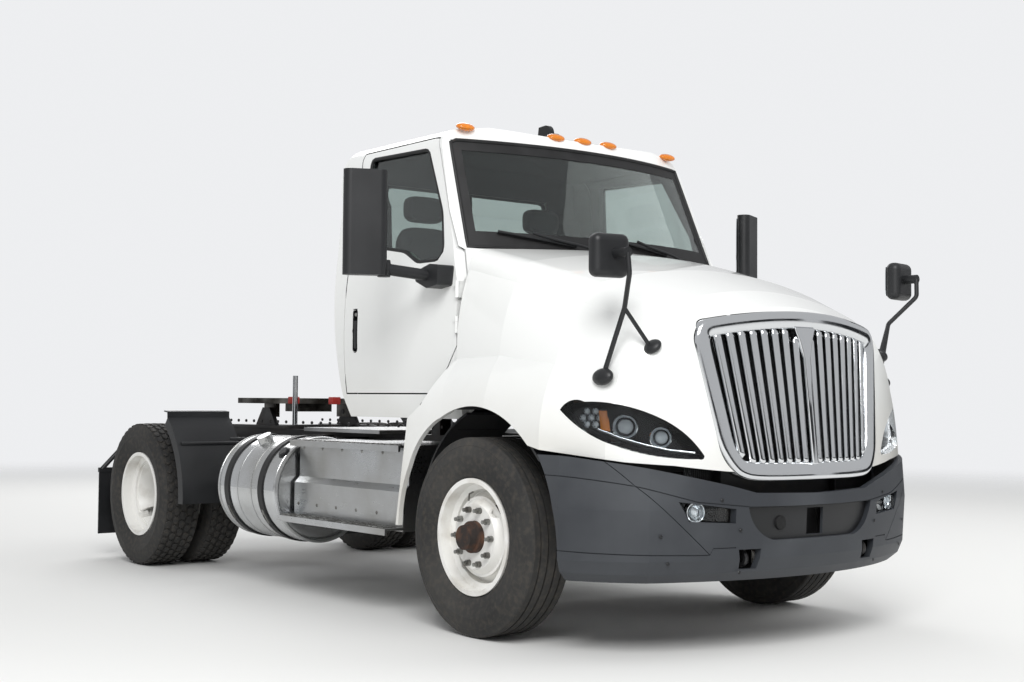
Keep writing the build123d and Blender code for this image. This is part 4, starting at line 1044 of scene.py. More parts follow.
@dataclass
class CabInterior:
    """Dark linings on the cab's inner faces, seats as padded pieces, and the dash's fittings."""

    middle: tuple[float, float, float] = (0.0, -0.9, 1.95)
    room_y: tuple[float, float] = (-1.56, -0.175)
    room_z: tuple[float, float] = (1.14, 2.745)
    skin: float = 0.012
    seat_x: float = 0.470
    swell: float = 0.10
    corner_pull: float = 0.05
    channel_deep: float = 0.03

    def line(self, frame: dict) -> None:
        """Gives the faces that look into the cab its grey trim, and paints the hood's inner faces near black
        as painted shade.
        """
        middle = Vector(self.middle)
        for name in ("cab", "door_left", "door_right"):
            paint_faces(frame["nodes"][name], TRIM, lambda at, way: (
                self.room_z[0] < at.z < self.room_z[1] and self.room_y[0] < at.y < self.room_y[1]
                and abs(at.x) < LINES.flank(at.z) - self.skin
                and way.dot((middle - at).normalized()) > 0.12))
        paint_faces(frame["nodes"]["cab"], BLACK_MOULDING, lambda at, way: at.z < 1.16 and way.z < -0.3)
        paint_faces(frame["nodes"]["cab"], BLACK_MOULDING,
                    lambda at, way: at.y < -1.50 and at.z < 1.93 and way.y < -0.3)
        # The hood's inner faces and the back of its nose panel get near black: painted shade for the hood's
        # dark inside.
        paint_faces(frame["nodes"]["hood"], BLACK_AND_PAINTED_SHADE, lambda at, way: (
            way.dot((Vector((0, at.y, 1.0)) - at).normalized()) > 0.25))
        paint_faces(frame["nodes"]["hood"], BLACK_AND_PAINTED_SHADE, lambda at, way: way.y > 0.5 and at.y < -2.2)

    def pad(self, name: str, low: tuple[float, float, float], high: tuple[float, float, float],
            channels: int, across: bool) -> bpy.types.Object:
        """Makes one crowned pad with sewn channels.

        Args:
            name: The piece's name.
            low: Lowest corner.
            high: Highest corner.
            channels: Sewn lines over its front.
            across: Whether the lines run across the seat.

        Returns:
            The pad.
        """
        shown = block(name, low, high)
        bpy.ops.object.mode_set(mode="EDIT")
        bpy.ops.mesh.select_all(action="SELECT")
        bpy.ops.mesh.subdivide(number_cuts=15)
        bpy.ops.object.mode_set(mode="OBJECT")
        low, high = Vector(low), Vector(high)
        middle, half = (low + high) / 2, (high - low) / 2
        for vertex in shown.data.vertices:
            unit = Vector([(vertex.co[k] - middle[k]) / half[k] for k in range(3)])
            swell = 1 - self.swell * (unit.x ** 4 + unit.y ** 4 + unit.z ** 4)
            pulled = 1 - self.corner_pull * (abs(unit.x * unit.y) ** 3 + abs(unit.y * unit.z) ** 3
                                             + abs(unit.x * unit.z) ** 3)
            groove = math.sin(math.pi * channels * ((unit.z if across else unit.x) + 1) / 2)
            face = abs(unit.y) if across else abs(unit.z)
            depth = self.channel_deep * (1 - abs(groove)) ** 4 * (1 if face > 0.95 else 0)
            vertex.co = middle + Vector([unit[k] * half[k] for k in range(3)]) * (swell * pulled - depth)
        modified(shown, "SUBSURF", levels=1, render_levels=1)
        return shown

    def seats(self) -> None:
        """Makes both seats: cushion, leaning back, head restraint and plinth."""
        for side, word in ((1, "driver"), (-1, "passenger")):
            x = side * self.seat_x
            cushion = self.pad(f"seat_cushion_{word}", (x - 0.26, -0.98, 1.545),
                               (x + 0.26, -0.44, 1.695), 4, False)
            back = self.pad(f"seat_back_{word}", (x - 0.25, -0.505, 1.60),
                            (x + 0.25, -0.385, 2.30), 4, True)
            head = self.pad(f"seat_head_{word}", (x - 0.15, -0.385, 2.29),
                            (x + 0.15, -0.275, 2.47), 1, True)
            for vertex in back.data.vertices:
                vertex.co.y += 0.10 * (vertex.co.z - 1.60) / 0.7
            for shown, fill in ((cushion, 0.8), (back, 0.8), (head, 0.9)):
                dress(shown, CLOTH, "chassis", 60)
            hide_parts(f"seat_{word}")
            plinth = bevel_edges(block(f"seat_plinth_{word}", (x - 0.19, -0.90, 1.155),
                                       (x + 0.19, -0.52, 1.56)), 0.012)
            dress(plinth, TRIM, "chassis")

    def dash(self) -> None:
        """Adds the gauges, the vents and the demister slot on the dashboard."""
        dials = []
        for k in range(4):
            at = (0.34 + 0.085 * k, from_axle(603), 1.955)
            bezel = [(0.0, 0.004), (0.030, 0.004), (0.036, 0.010), (0.036, 0.0), (0.0, 0.0)]
            dials.append(turned(f"dial_{k}", bezel, at, (0, 1, 0.25), 24))
        dress(joined("gauges", dials), BRIGHT_STEEL, "chassis")
        vents = []
        for x in (-0.74, -0.46, 0.02, 0.82):
            corners = rectangle((x - 0.065, 1.80), (x + 0.065, 1.87))
            frame = prism(f"vent_{x}", Plane.XZ, corners, from_axle(628), from_axle(642), 0.008, 0.010)
            slats = [block(f"slat_{x}_{k}", (x - 0.055, from_axle(630), 1.812 + 0.014 * k),
                           (x + 0.055, from_axle(640), 1.816 + 0.014 * k)) for k in range(4)]
            vents.append(joined(f"vents_{x}", [frame, *slats]))
        dress(joined("dash_vents", vents), BLACK_MOULDING, "chassis")
        screen_top = [(x, from_axle(470), 2.022) for x in (-0.6, -0.3, 0.0, 0.3, 0.6)]
        dress(tube("demister_slot", screen_top, 0.008), BLACK_MOULDING, "chassis")

    def build(self, frame: dict) -> None:
        """Lines the cab and furnishes it."""
        self.line(frame)
        self.seats()
        self.dash()


@dataclass
class DoorFittings:
    """Handle in its pocket, lock, and the mirrors' glasses and joints."""

    handle_y: float = 1340
    handle_z: float = 1.605
    mirror_deg: float = 25
    hood_mirror_deg: float = 12
    glass_out: float = 0.0425
    pocket_half: tuple[float, float] = (0.0275, 0.129)
    mirror_x: float = 1.480
    mirror_behind: float = 560
    pane_half: float = 0.098
    tall_z: tuple[float, float] = (2.030, 2.398)
    wide_z: tuple[float, float] = (1.882, 2.012)
    hood_mirror_x: float = 1.090
    hood_mirror_behind: float = -930
    hood_pane_half: float = 0.078
    hood_pane_z: tuple[float, float] = (1.800, 1.960)

    def handle(self) -> None:
        """Makes the pocket's black tray and the upright pull handle."""
        y, z = from_axle(self.handle_y), self.handle_z
        wide, tall = self.pocket_half
        tray = prism("handle_tray", Plane.YZ, rectangle((y - wide, z - tall), (y + wide, z + tall)),
                     1.0202, 1.044, 0.004, 0.020)
        grip = bevel_edges(block("handle_grip", (1.030, y - 0.013, z - 0.105), (1.047, y + 0.013, z + 0.060)),
                           0.006, 3)
        lock = turned("handle_lock", [(0.0, 0.0), (0.011, 0.0), (0.011, 0.018), (0.008, 0.021), (0.0, 0.021)],
                      (1.024, y, z + 0.095), (1, 0, 0), 20)
        dress_both(joined("door_handle", [tray, grip]), BLACK_MOULDING, "door_SIDE")
        dress_both(lock, BRIGHT_STEEL, "door_SIDE")

    def pane(self, name: str, centre: Vector, turn_deg: float, half: float, low: float,
             high: float) -> bpy.types.Object:
        """Makes one slightly domed mirror glass that looks backwards.

        Args:
            name: The glass' name.
            centre: The middle of its back, at height 0.
            turn_deg: How far it is turned about the vertical.
            half: Half its width.
            low: Height of its foot.
            high: Height of its top.

        Returns:
            The glass.
        """
        turn = Matrix.Rotation(math.radians(turn_deg), 3, "Z")

        def place(u: float, v: float) -> Vector:
            """The glass' point at u across and v up."""
            a, b = 2 * u - 1, 2 * v - 1
            squeeze = (1 - abs(a) ** 4 * abs(b) ** 4 * 0.06)
            dome = 0.004 * (1 - a * a) * (1 - b * b)
            local = Vector((a * half * squeeze, dome, 0))
            return centre + turn @ local + Vector((0, 0, low + (high - low) * v))

        return draped(name, 16, 24, place, 0.003)

    def mirrors(self) -> None:
        """Adds two glasses and a joint to each door mirror, and one glass to each hood mirror."""
        centre = Vector((self.mirror_x, from_axle(self.mirror_behind), 0.0))
        turn = Matrix.Rotation(math.radians(self.mirror_deg), 3, "Z")
        back = centre + turn @ Vector((0, self.glass_out, 0))
        panes = [self.pane("pane_tall", back, self.mirror_deg, self.pane_half, *self.tall_z),
                 self.pane("pane_wide", back, self.mirror_deg, self.pane_half, *self.wide_z)]
        dress_both(joined("door_mirror_glass", panes), MIRROR, "door_SIDE", 50)
        joint = [(0.0, -0.045), (0.034, -0.045), (0.037, -0.03), (0.037, 0.03), (0.034, 0.045), (0.0, 0.045)]
        knuckle = turned("mirror_knuckle", joint, (1.372, from_axle(540), 1.899), (0, 0, 1), 24)
        dress_both(knuckle, BLACK_MOULDING, "door_SIDE")
        turn = Matrix.Rotation(math.radians(self.hood_mirror_deg), 3, "Z")
        small = Vector((self.hood_mirror_x, from_axle(self.hood_mirror_behind), 0.0))
        small += turn @ Vector((0, self.glass_out, 0))
        glass = self.pane("hood_mirror_glass", small, self.hood_mirror_deg, self.hood_pane_half,
                          *self.hood_pane_z)
        dress_both(glass, MIRROR, "hood", 50)

    def build(self) -> None:
        """Makes all fittings."""
        self.handle()
        self.mirrors()


@dataclass
class Nose:
    """Chrome surround with its rolled edge, its bars, the core behind them and the side markers."""

    outline: tuple[tuple[float, float], ...] = (
        (0.0, 0.826), (0.400, 0.826), (0.484, 0.848), (0.524, 0.884), (0.556, 0.932), (0.580, 0.985),
        (0.602, 1.106), (0.624, 1.227), (0.646, 1.349), (0.668, 1.470), (0.666, 1.520), (0.650, 1.562),
        (0.618, 1.590), (0.575, 1.604), (0.39, 1.632), (0.20, 1.650), (0.0, 1.656))
    section: tuple[tuple[float, float], ...] = (
        (0.002, -0.050), (0.000, 0.002), (0.006, 0.012), (0.018, 0.0165), (0.036, 0.016), (0.054, 0.012),
        (0.070, 0.006), (0.082, -0.003), (0.090, -0.016), (0.093, -0.046))
    spine: tuple[tuple[float, float], ...] = ((0.020, 0.900), (0.022, 1.420), (0.045, 1.500), (0.076, 1.575))
    spine_proud: float = 0.008
    spine_deep: float = 0.036
    bars_a_side: int = 8
    foot: tuple[float, float] = (0.052, 0.0555)
    head: tuple[float, float] = (0.060, 0.0705)
    foot_half: float = 0.0165
    head_half: float = 0.0205
    bar_inside: float = 0.016
    bar_proud: float = 0.014
    bar_deep: float = 0.030
    spine_room: float = 0.045
    bar_foot_z: float = 0.900
    foot_rise_from: float = 0.38
    foot_rise: float = 0.60
    bar_head_z: float = 1.572
    head_bow: float = 0.11
    fan_foot: float = 0.86
    fan_tall: float = 0.76
    core_half: float = 0.60
    core_y: float = -2.735
    core_bow: float = 0.05
    core_foot: float = 0.80
    core_tall: float = 0.76
    shroud_half: float = 1.02
    shroud_y: float = -2.745
    shroud_sweep: float = 0.16
    shroud_top: float = 0.862
    shroud_tall: float = 0.36
    marker_x: float = 1.151
    marker_behind: float = 455
    marker_z: float = 1.163

    def loop(self) -> list[tuple[float, float]]:
        """The surround's whole outer outline, smoothed once, from the foot's middle round."""
        half = list(self.outline)
        run = half + [(-x, z) for x, z in reversed(half[1:-1])]
        for _ in range(2):
            cut = []
            for k, here in enumerate(run):
                after = run[(k + 1) % len(run)]
                cut.append((here[0] * 0.75 + after[0] * 0.25, here[1] * 0.75 + after[1] * 0.25))
                cut.append((here[0] * 0.25 + after[0] * 0.75, here[1] * 0.25 + after[1] * 0.75))
            run = cut
        return run

    def surround(self) -> None:
        """Lays the chrome band with its rolled section round the opening."""
        run = self.loop()
        count = len(run)
        inward = []
        for k in range(count):
            before, after = run[k - 1], run[(k + 1) % count]
            dx, dz = after[0] - before[0], after[1] - before[1]
            length = math.hypot(dx, dz)
            inward.append((-dz / length, dx / length))

        def place(u: float, v: float) -> Vector:
            """The band's point at u round the opening and v across the roll."""
            k = int(round(u * count)) % count
            g, out = self.section[int(round(v * (len(self.section) - 1)))]
            x, z = run[k][0] + inward[k][0] * g, run[k][1] + inward[k][1] * g
            return LINES.nose(x, z, -out)

        band = draped("grille_band", count, len(self.section) - 1, place, 0.0, True)
        right = [(-x, z) for x, z in reversed(self.spine)]
        spine = prism("grille_spine", Plane.XZ, [right[-1], *self.spine, *right[:-1]], -3.10, -2.98)
        for vertex in spine.data.vertices:
            depth = self.spine_proud if vertex.co.y < -3.04 else -self.spine_deep
            vertex.co = LINES.nose(vertex.co.x, vertex.co.z, -depth)
        bevel_edges(spine, 0.006, 3)
        shown = joined("grille_surround_rolled", [band, spine])
        dress(shown, CHROME, "hood", 50)
        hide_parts("grille_surround")

    def lugs(self) -> None:
        """Makes the hood's pivot arms behind the surround."""
        arm = prism("hood_pivot_arm", Plane.YZ, [(from_axle(-1200), 0.842), (from_axle(-1138), 0.862),
                                                 (from_axle(-1120), 0.880), (from_axle(-1138), 0.898),
                                                 (from_axle(-1200), 0.890)], 0.300, 0.360)
        dress_both(bevel_edges(arm, 0.004), CHASSIS, "hood")

    @staticmethod
    def tip(v: float) -> float:
        """Share of a bar's full section at v along it: its ends are rounded off."""
        return math.sqrt(max(1 - (max(abs(2 * v - 1) - 0.95, 0.0) / 0.05) ** 2, 0.02))

    def bar_point(self, k: int, u: float, v: float) -> Vector:
        """The surface of one of the left side's bars.

        Args:
            k: The bar's number, from the middle outwards.
            u: Place round the bar, 0 to 1.
            v: Place up the bar, 0 to 1.

        Returns:
            The point.
        """
        low_x = self.foot[0] + self.foot[1] * k
        high_x = self.head[0] + self.head[1] * k
        low_z = self.bar_foot_z + max(0.0, low_x - self.foot_rise_from) * self.foot_rise
        high_z = self.bar_head_z - self.head_bow * high_x ** 2 - (self.spine_room if k == 0 else 0)
        z = low_z + (high_z - low_z) * v
        share = (z - self.fan_foot) / self.fan_tall
        middle = low_x + (high_x - low_x) * share
        half = (self.foot_half + (self.head_half - self.foot_half) * share) * self.tip(v)
        turn = math.pi * 2 * u
        across, out = math.cos(turn), math.sin(turn)
        x = middle + half * math.copysign(abs(across) ** 0.8, across)
        depth = self.bar_proud * out * self.tip(v) if out > 0 else self.bar_deep * out
        return LINES.nose(x, z, self.bar_inside) + Vector((0, -depth, 0))

    def bars(self) -> None:
        """Makes sixteen upright bars with rounded fronts, leaning outwards to the sides."""
        parts = []
        for k in range(self.bars_a_side):
            parts.append(draped(f"bar_{k}", 20, 40, lambda u, v, k=k: self.bar_point(k, u, v), 0.0, True))
        shown = joined("grille_bars_left", parts)
        both = joined("grille_bars_rounded", [shown, other_side(shown, "grille_bars_right")])
        dress(both, CHROME, "hood", 60)
        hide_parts("grille_bars")

    def core(self) -> None:
        """Adds the dark core and its shroud behind the bars, down to the bumper; the shroud's near black is
        painted shade for the dark inside of the hood's front.
        """
        panel = draped("core_screen", 24, 20, lambda u, v: (
            (2 * u - 1) * self.core_half, self.core_y - self.core_bow * (1 - (2 * u - 1) ** 2),
            self.core_foot + self.core_tall * v), 0.006)
        dress(panel, CORE, "chassis")
        # The shroud is near black: painted shade for the dark space inside the hood's front.
        shade_valance = draped("core_shroud", 32, 6, lambda u, v: (
            (2 * u - 1) * self.shroud_half, self.shroud_y + self.shroud_sweep * (2 * u - 1) ** 2,
            self.shroud_top - self.shroud_tall * v), 0.006)
        dress(shade_valance, BLACK_AND_PAINTED_SHADE, "chassis")

    def marks(self) -> None:
        """Adds an oval amber side marker in its rubber rim to each of the hood's flanks."""
        y = from_axle(self.marker_behind)
        at, way = (self.marker_x, y, self.marker_z), (1, 0, 0.12)
        dome = [(0.0, 0.016), (0.014, 0.015), (0.024, 0.010), (0.028, 0.0), (0.0, 0.0)]
        lamp = turned("marker_lens", dome, at, way, 32)
        ring = [(0.027, 0.0), (0.034, 0.0), (0.033, 0.007), (0.028, 0.008)]
        rim = turned("marker_rim", ring, at, way, 32)
        for shown in (lamp, rim):
            for vertex in shown.data.vertices:
                vertex.co.y = y + (vertex.co.y - y) * 1.5
        dress_both(lamp, AMBER, "hood")
        dress_both(rim, SEAL, "hood")

    def build(self) -> None:
        """Makes all of the nose's pieces."""
        self.surround()
        self.lugs()
        self.bars()
        self.core()
        self.marks()


@dataclass
class Headlamp:
    """Inside of a headlamp: black housing, projector, bowl, seven small lenses, amber patch and sill.

    u runs along the lamp's plane from its middle outwards and back, n out of that plane.
    """

    along: tuple[float, float] = (0.64, 0.77)
    outwards: tuple[float, float] = (0.77, -0.64)
    face: tuple[tuple[float, float], ...] = (
        (0.226, 1.160), (0.196, 1.192), (0.110, 1.195), (0.020, 1.193), (-0.070, 1.182), (-0.160, 1.157),
        (-0.250, 1.121), (-0.350, 1.055), (-0.436, 0.952), (-0.425, 0.940), (-0.330, 0.944), (-0.235, 0.953),
        (-0.140, 0.976), (-0.045, 1.003), (0.060, 1.046), (0.150, 1.100))

    bowls_at: tuple[tuple[float, float, float, float], ...] = (
        (-0.066, 1.080, 0.052, 0.050), (-0.235, 1.030, 0.046, 0.045))
    bowl_n: float = 1.172
    cells_at: tuple[float, float] = (0.092, 1.122)
    cell_ring: tuple[float, float] = (0.041, 0.036)
    cell_n: float = 1.196

    def at(self, u: float, z: float, n: float) -> Vector:
        """The point at u, z and n, on the left side."""
        return Vector((self.along[0] * u + self.outwards[0] * n,
                       FRONT_AXLE_Y + self.along[1] * u + self.outwards[1] * n, z))

    def housing(self) -> None:
        """Makes both black housings, sunk inside their rims."""
        housing = prism("lamp_housing", Plane.XZ, [(u, z) for u, z in self.face], 1.080, 1.150, 0.012, 0.050)
        for vertex in housing.data.vertices:
            u, n, z = vertex.co
            n += 0.05 * (u + 0.05) / 0.3 if u > -0.05 else 0.0
            vertex.co = self.at(u, z, n)
        housing.data.flip_normals()
        dress_both(housing, BLACK_AND_PAINTED_SHADE, "hood")

    def lights(self) -> None:
        """Makes the projectors' bowls, the ring of seven cells and their glasses."""
        way = Vector((self.outwards[0], self.outwards[1], 0))
        bowls, glasses = [], []
        for u, z, r, deep in self.bowls_at:
            centre = self.at(u, z, self.bowl_n)
            bowl = [(r * 0.30, -deep), (r * 0.62, -deep * 0.72), (r * 0.85, -deep * 0.3), (r, 0.006),
                    (r + 0.004, 0.010), (r + 0.009, 0.006), (r + 0.009, -deep), (r * 0.30, -deep)]
            bowls.append(turned(f"bowl_{u}", bowl, centre, way, 40))
            glasses.append(turned(f"dome_{u}", [(0.0, 0.010), (r * 0.3, 0.007), (r * 0.55, -0.004),
                                                (r * 0.66, -0.020), (0.0, -0.020)], centre, way, 32))
        for k in range(7):
            turn = math.pi * 2 * k / 6
            u = self.cells_at[0] + (self.cell_ring[0] * math.cos(turn) if k < 6 else 0)
            z = self.cells_at[1] + (self.cell_ring[1] * math.sin(turn) if k < 6 else 0)
            centre = self.at(u, z, self.cell_n)
            cell = [(0.013, -0.010), (0.017, 0.0), (0.018, 0.006), (0.020, 0.004), (0.020, -0.018),
                    (0.013, -0.018), (0.013, -0.010)]
            bowls.append(turned(f"cell_{k}", cell, centre, way, 6))
            glasses.append(turned(f"led_{k}", [(0.0, 0.003), (0.009, 0.0), (0.0125, -0.008), (0.0, -0.008)],
                                  centre, way, 18))
        dress_both(joined("lamp_reflectors", bowls), CHROME, "hood", 40)
        dress_both(joined("lamp_domes", glasses), LED_LENS, "hood", 60)

    def trims(self) -> None:
        """Adds the amber patch and the bright sill."""
        patch = draped("lamp_amber_patch", 8, 12, lambda u, v: self.at(
            0.004 + 0.040 * u + 0.012 * v, 1.060 + 0.096 * v, 1.208 + 0.006 * math.sin(math.pi * u)), 0.008)
        dress_both(patch, AMBER, "hood", 40)
        sill = [self.at(u, z, 1.196 + 0.05 * max(0.0, (u + 0.05) / 0.3))
                for u, z in ((-0.40, 0.962), (-0.28, 0.972), (-0.16, 0.997), (-0.06, 1.024), (0.06, 1.070))]
        dress_both(tube("lamp_sill", sill, 0.007), CHROME, "hood", 60)

    def build(self) -> None:
        """Makes the housing and what it holds, for both sides."""
        self.housing()
        self.lights()
        self.trims()


@dataclass
class BumperFittings:
    """Fog lamps' bowls, near-black backs of the holes as painted shade, tow eyes, the recess' plug and the
    skin's bolts.
    """

    fog_at: tuple[float, float] = (0.712, 0.686)
    lower_lean: float = 0.010
    bolts_at: tuple[tuple[float, float], ...] = (
        (0.50, 0.60), (0.60, 0.742), (0.90, 0.58), (0.50, 0.40), (0.86, 0.452))

    def face(self, x: float) -> float:
        """Y of the bumper's outer face at x, near its middle height."""
        cx, cy, r = circle_through((-0.95, -1.065), (0.0, -1.270), (0.95, -1.065))
        return FRONT_AXLE_Y + cy - math.sqrt(r * r - (x - cx) ** 2)

    def darken(self, bumper: bpy.types.Object) -> None:
        """Gives the recess its black finish, and the bumper's inside a near-black finish as painted shade."""
        paint_faces(bumper, BLACK_MOULDING, lambda at, way: (
            abs(at.x) < 0.46 and 0.54 < at.z < 0.712 and way.y < -0.5 and at.y > self.face(at.x) + 0.012))
        # The bumper's inner faces get near black: painted shade behind its skin.
        paint_faces(bumper, BLACK_AND_PAINTED_SHADE, lambda at, way: way.y > 0.3)

    def fogs(self) -> None:
        """Makes the fog lamps' bowls and their inner glasses."""
        x, z = self.fog_at
        y = self.face(x)
        way = Vector((0.32, -1, 0)).normalized()
        bowl = [(0.020, -0.030), (0.034, -0.018), (0.042, 0.006), (0.047, 0.008), (0.048, 0.0),
                (0.048, -0.034), (0.020, -0.034), (0.020, -0.030)]
        cup = turned("fog_cup", bowl, (x, y + 0.036, z), way, 36)
        dress_both(cup, CHROME, "chassis", 40)
        bulb = turned("fog_dome", [(0.0, 0.004), (0.014, 0.0), (0.022, -0.012), (0.0, -0.012)],
                      (x, y + 0.040, z), way, 24)
        dress_both(bulb, LED_LENS, "chassis", 60)

    def backs(self) -> None:
        """Closes the holes for plug, fog lamps and tow eyes with near-black trays behind them, as painted
        shade for the dark space beyond.
        """
        # Near-black trays: painted shade for the dark space seen through the holes.
        hole = prism("port_back", Plane.XZ, rectangle((-0.11, 0.525), (0.11, 0.725)),
                     self.face(0.0) + 0.130, self.face(0.0) + 0.100, 0.008, 0.012)
        dress(hole, BLACK_AND_PAINTED_SHADE, "chassis")
        for name, points in (("fog_back", [(0.515, 0.622), (0.790, 0.636), (0.830, 0.744), (0.515, 0.712)]),
                             ("tow_back", rectangle((0.330, 0.385), (0.560, 0.535)))):
            low = self.face(0.66 if name == "fog_back" else 0.44) + 0.10
            panel = prism(name, Plane.XZ, points, low + 0.03, low, 0.008, 0.012)
            dress_both(panel, BLACK_AND_PAINTED_SHADE, "chassis")

    def fixings(self) -> None:
        """Makes the tow eyes, the recess' plug and the skin's bolts."""
        ring = [(0.026, -0.012), (0.040, -0.012), (0.044, 0.0), (0.040, 0.012), (0.026, 0.012),
                (0.022, 0.0), (0.026, -0.012)]
        eye = turned("tow_eye", ring, (0.440, self.face(0.44) + 0.070, 0.462), (1, 0, 0), 28)
        dress_both(eye, CHASSIS, "chassis")
        plug = [(0.0, 0.008), (0.026, 0.008), (0.034, 0.004), (0.036, -0.012), (0.0, -0.012)]
        port = turned("recess_port", plug, (-0.24, self.face(0.24) + 0.026, 0.625), (0, -1, 0), 28)
        dress(port, BLACK_AND_PAINTED_SHADE, "chassis")
        bolts = []
        for bx, bz in self.bolts_at:
            back = self.lower_lean if bz < 0.46 else 0.0
            head = [(0.0, 0.004), (0.006, 0.003), (0.009, 0.0), (0.0, -0.002)]
            bolts.append(turned(f"bolt_{bx}_{bz}", head, (bx, self.face(bx) + back, bz),
                                (bx * 0.4, -1, 0), 16))
        dress_both(joined("bumper_bolts", bolts), BLACK_MOULDING, "chassis")

    def build(self, frame: dict) -> None:
        """Finishes the bumper and makes its pieces."""
        self.darken(frame["nodes"]["bumper"])
        self.fogs()
        self.backs()
        self.fixings()


@dataclass
class WheelFittings:
    """Bare steel nuts, cast hubs and drums on one side's painted wheels, and the valve."""

    side: Side
    hub: float = 0.092
    nuts_in: float = 0.118
    nuts_out: float = 0.170
    nut_long: float = 0.048
    drum: float = 0.205
    front_disc: float = 1.157
    rear_disc: float = 0.940
    front_drum_x: float = 1.100
    rear_drum_x: float = 0.860

    def paint(self, shown: bpy.types.Object, axle_y: float, disc: float, drum_x: float) -> None:
        """Gives hub, drum and nuts their own finishes.

        Args:
            shown: The CAD wheel.
            axle_y: Where its axle is.
            disc: X of the disc's outer face.
            drum_x: X inside which the drum lies.
        """
        def radius(at: Vector) -> float:
            """Distance from the axle's line."""
            return math.hypot(at.y - axle_y, at.z - AXLE_Z)

        paint_faces(shown, IRON, lambda at, way: (
            radius(at) < self.hub or (abs(at.x) < drum_x and radius(at) < self.drum)))
        paint_faces(shown, BRIGHT_STEEL, lambda at, way: (
            self.nuts_in < radius(at) < self.nuts_out and disc < abs(at.x) < disc + self.nut_long))

    def build(self, frame: dict) -> None:
        """Paints both axles' wheels and adds the valves."""
        word, sign = self.side.word, self.side.value
        self.paint(frame["nodes"][f"front_wheel_{word}"], FRONT_AXLE_Y, self.front_disc,
                   self.front_drum_x)
        self.paint(frame["nodes"][f"rear_wheels_{word}"], REAR_AXLE_Y, self.rear_disc,
                   self.rear_drum_x)
        front = Vector((sign * self.front_disc, FRONT_AXLE_Y, AXLE_Z))
        valve = tube(f"front_valve_{word}", [front + Vector((-sign * 0.06, 0.093, 0.222)),
                                             front + Vector((-sign * 0.030, 0.088, 0.212)),
                                             front + Vector((-sign * 0.012, 0.070, 0.180))], 0.005)
        dress(valve, BRIGHT_STEEL, f"front_wheel_{word}")


@dataclass
class TankTrim:
    """Rolled rims, beads, strap bolts and level sender of the fuel tanks."""

    x: float = 0.872
    z: float = 0.632
    radius: float = 0.330
    low_y: float = 0.185
    high_y: float = 0.945
    strap_at: tuple[float, float] = (2175, 2620)
    bead_at: tuple[float, float] = (2300, 2480)
    rim: tuple[tuple[float, float], ...] = (
        (-0.020, 0.004), (-0.010, 0.009), (0.0, 0.006), (0.003, 0.0), (0.003, -0.010), (-0.001, -0.013),
        (-0.020, -0.013), (-0.020, 0.004))
    bead: tuple[tuple[float, float], ...] = (
        (-0.002, -0.004), (0.0022, -0.003), (0.0022, 0.003), (-0.002, 0.004), (-0.002, -0.004))

    def rolls(self) -> None:
        """Makes the tanks' rolled rims and the beads round their barrels."""
        rims = []
        for k, (y, way) in enumerate(((self.low_y, -1), (self.high_y, 1))):
            section = [(self.radius + out, along) for out, along in self.rim]
            rims.append(turned(f"tank_rim_{k}", section, (self.x, y, self.z), (0, way, 0), 96))
        dress_both(joined("tank_rims", rims), ALUMINIUM, "chassis", 40)
        lines = []
        for fy_at in self.bead_at:
            section = [(self.radius + out, along) for out, along in self.bead]
            middle = (self.x, from_axle(fy_at), self.z)
            lines.append(turned(f"tank_bead_{fy_at}", section, middle, (0, 1, 0), 96))
        dress_both(joined("tank_beads", lines), ALUMINIUM, "chassis", 40)

    def straps(self) -> None:
        """Makes the straps' bolts and nuts."""
        bolts = []
        for fy_at in self.strap_at:
            for turn_deg in (118, -30):
                turn = math.radians(turn_deg)
                out = Vector((math.cos(turn), 0, math.sin(turn)))
                at = Vector((self.x, from_axle(fy_at), self.z)) + out * (self.radius + 0.006)
                side = Vector((-out.z, 0, out.x))
                bolts.append(bar(f"tee_{fy_at}_{turn_deg}", at - side * 0.05, at + side * 0.05, 0.006, 12))
                bolts.append(bar(f"nut_{fy_at}_{turn_deg}", at + side * 0.018, at + side * 0.034, 0.012, 6))
        dress_both(joined("strap_bolts", bolts), BRIGHT_STEEL, "chassis")

    def sender(self) -> None:
        """Makes the level sender's cap on each tank's shoulder."""
        turn = math.radians(45)
        out = Vector((math.cos(turn), 0, math.sin(turn)))
        at = Vector((self.x, from_axle(2052), self.z)) + out * (self.radius - 0.004)
        section = [(0.0, 0.022), (0.030, 0.022), (0.036, 0.016), (0.036, 0.006), (0.044, 0.004),
                   (0.044, -0.004), (0.0, -0.004)]
        cap = turned("tank_sender", section, at, out, 32)
        dress_both(cap, BLACK_MOULDING, "chassis")

    def build(self) -> None:
        """Makes both tanks' fittings."""
        self.rolls()
        self.straps()
        self.sender()


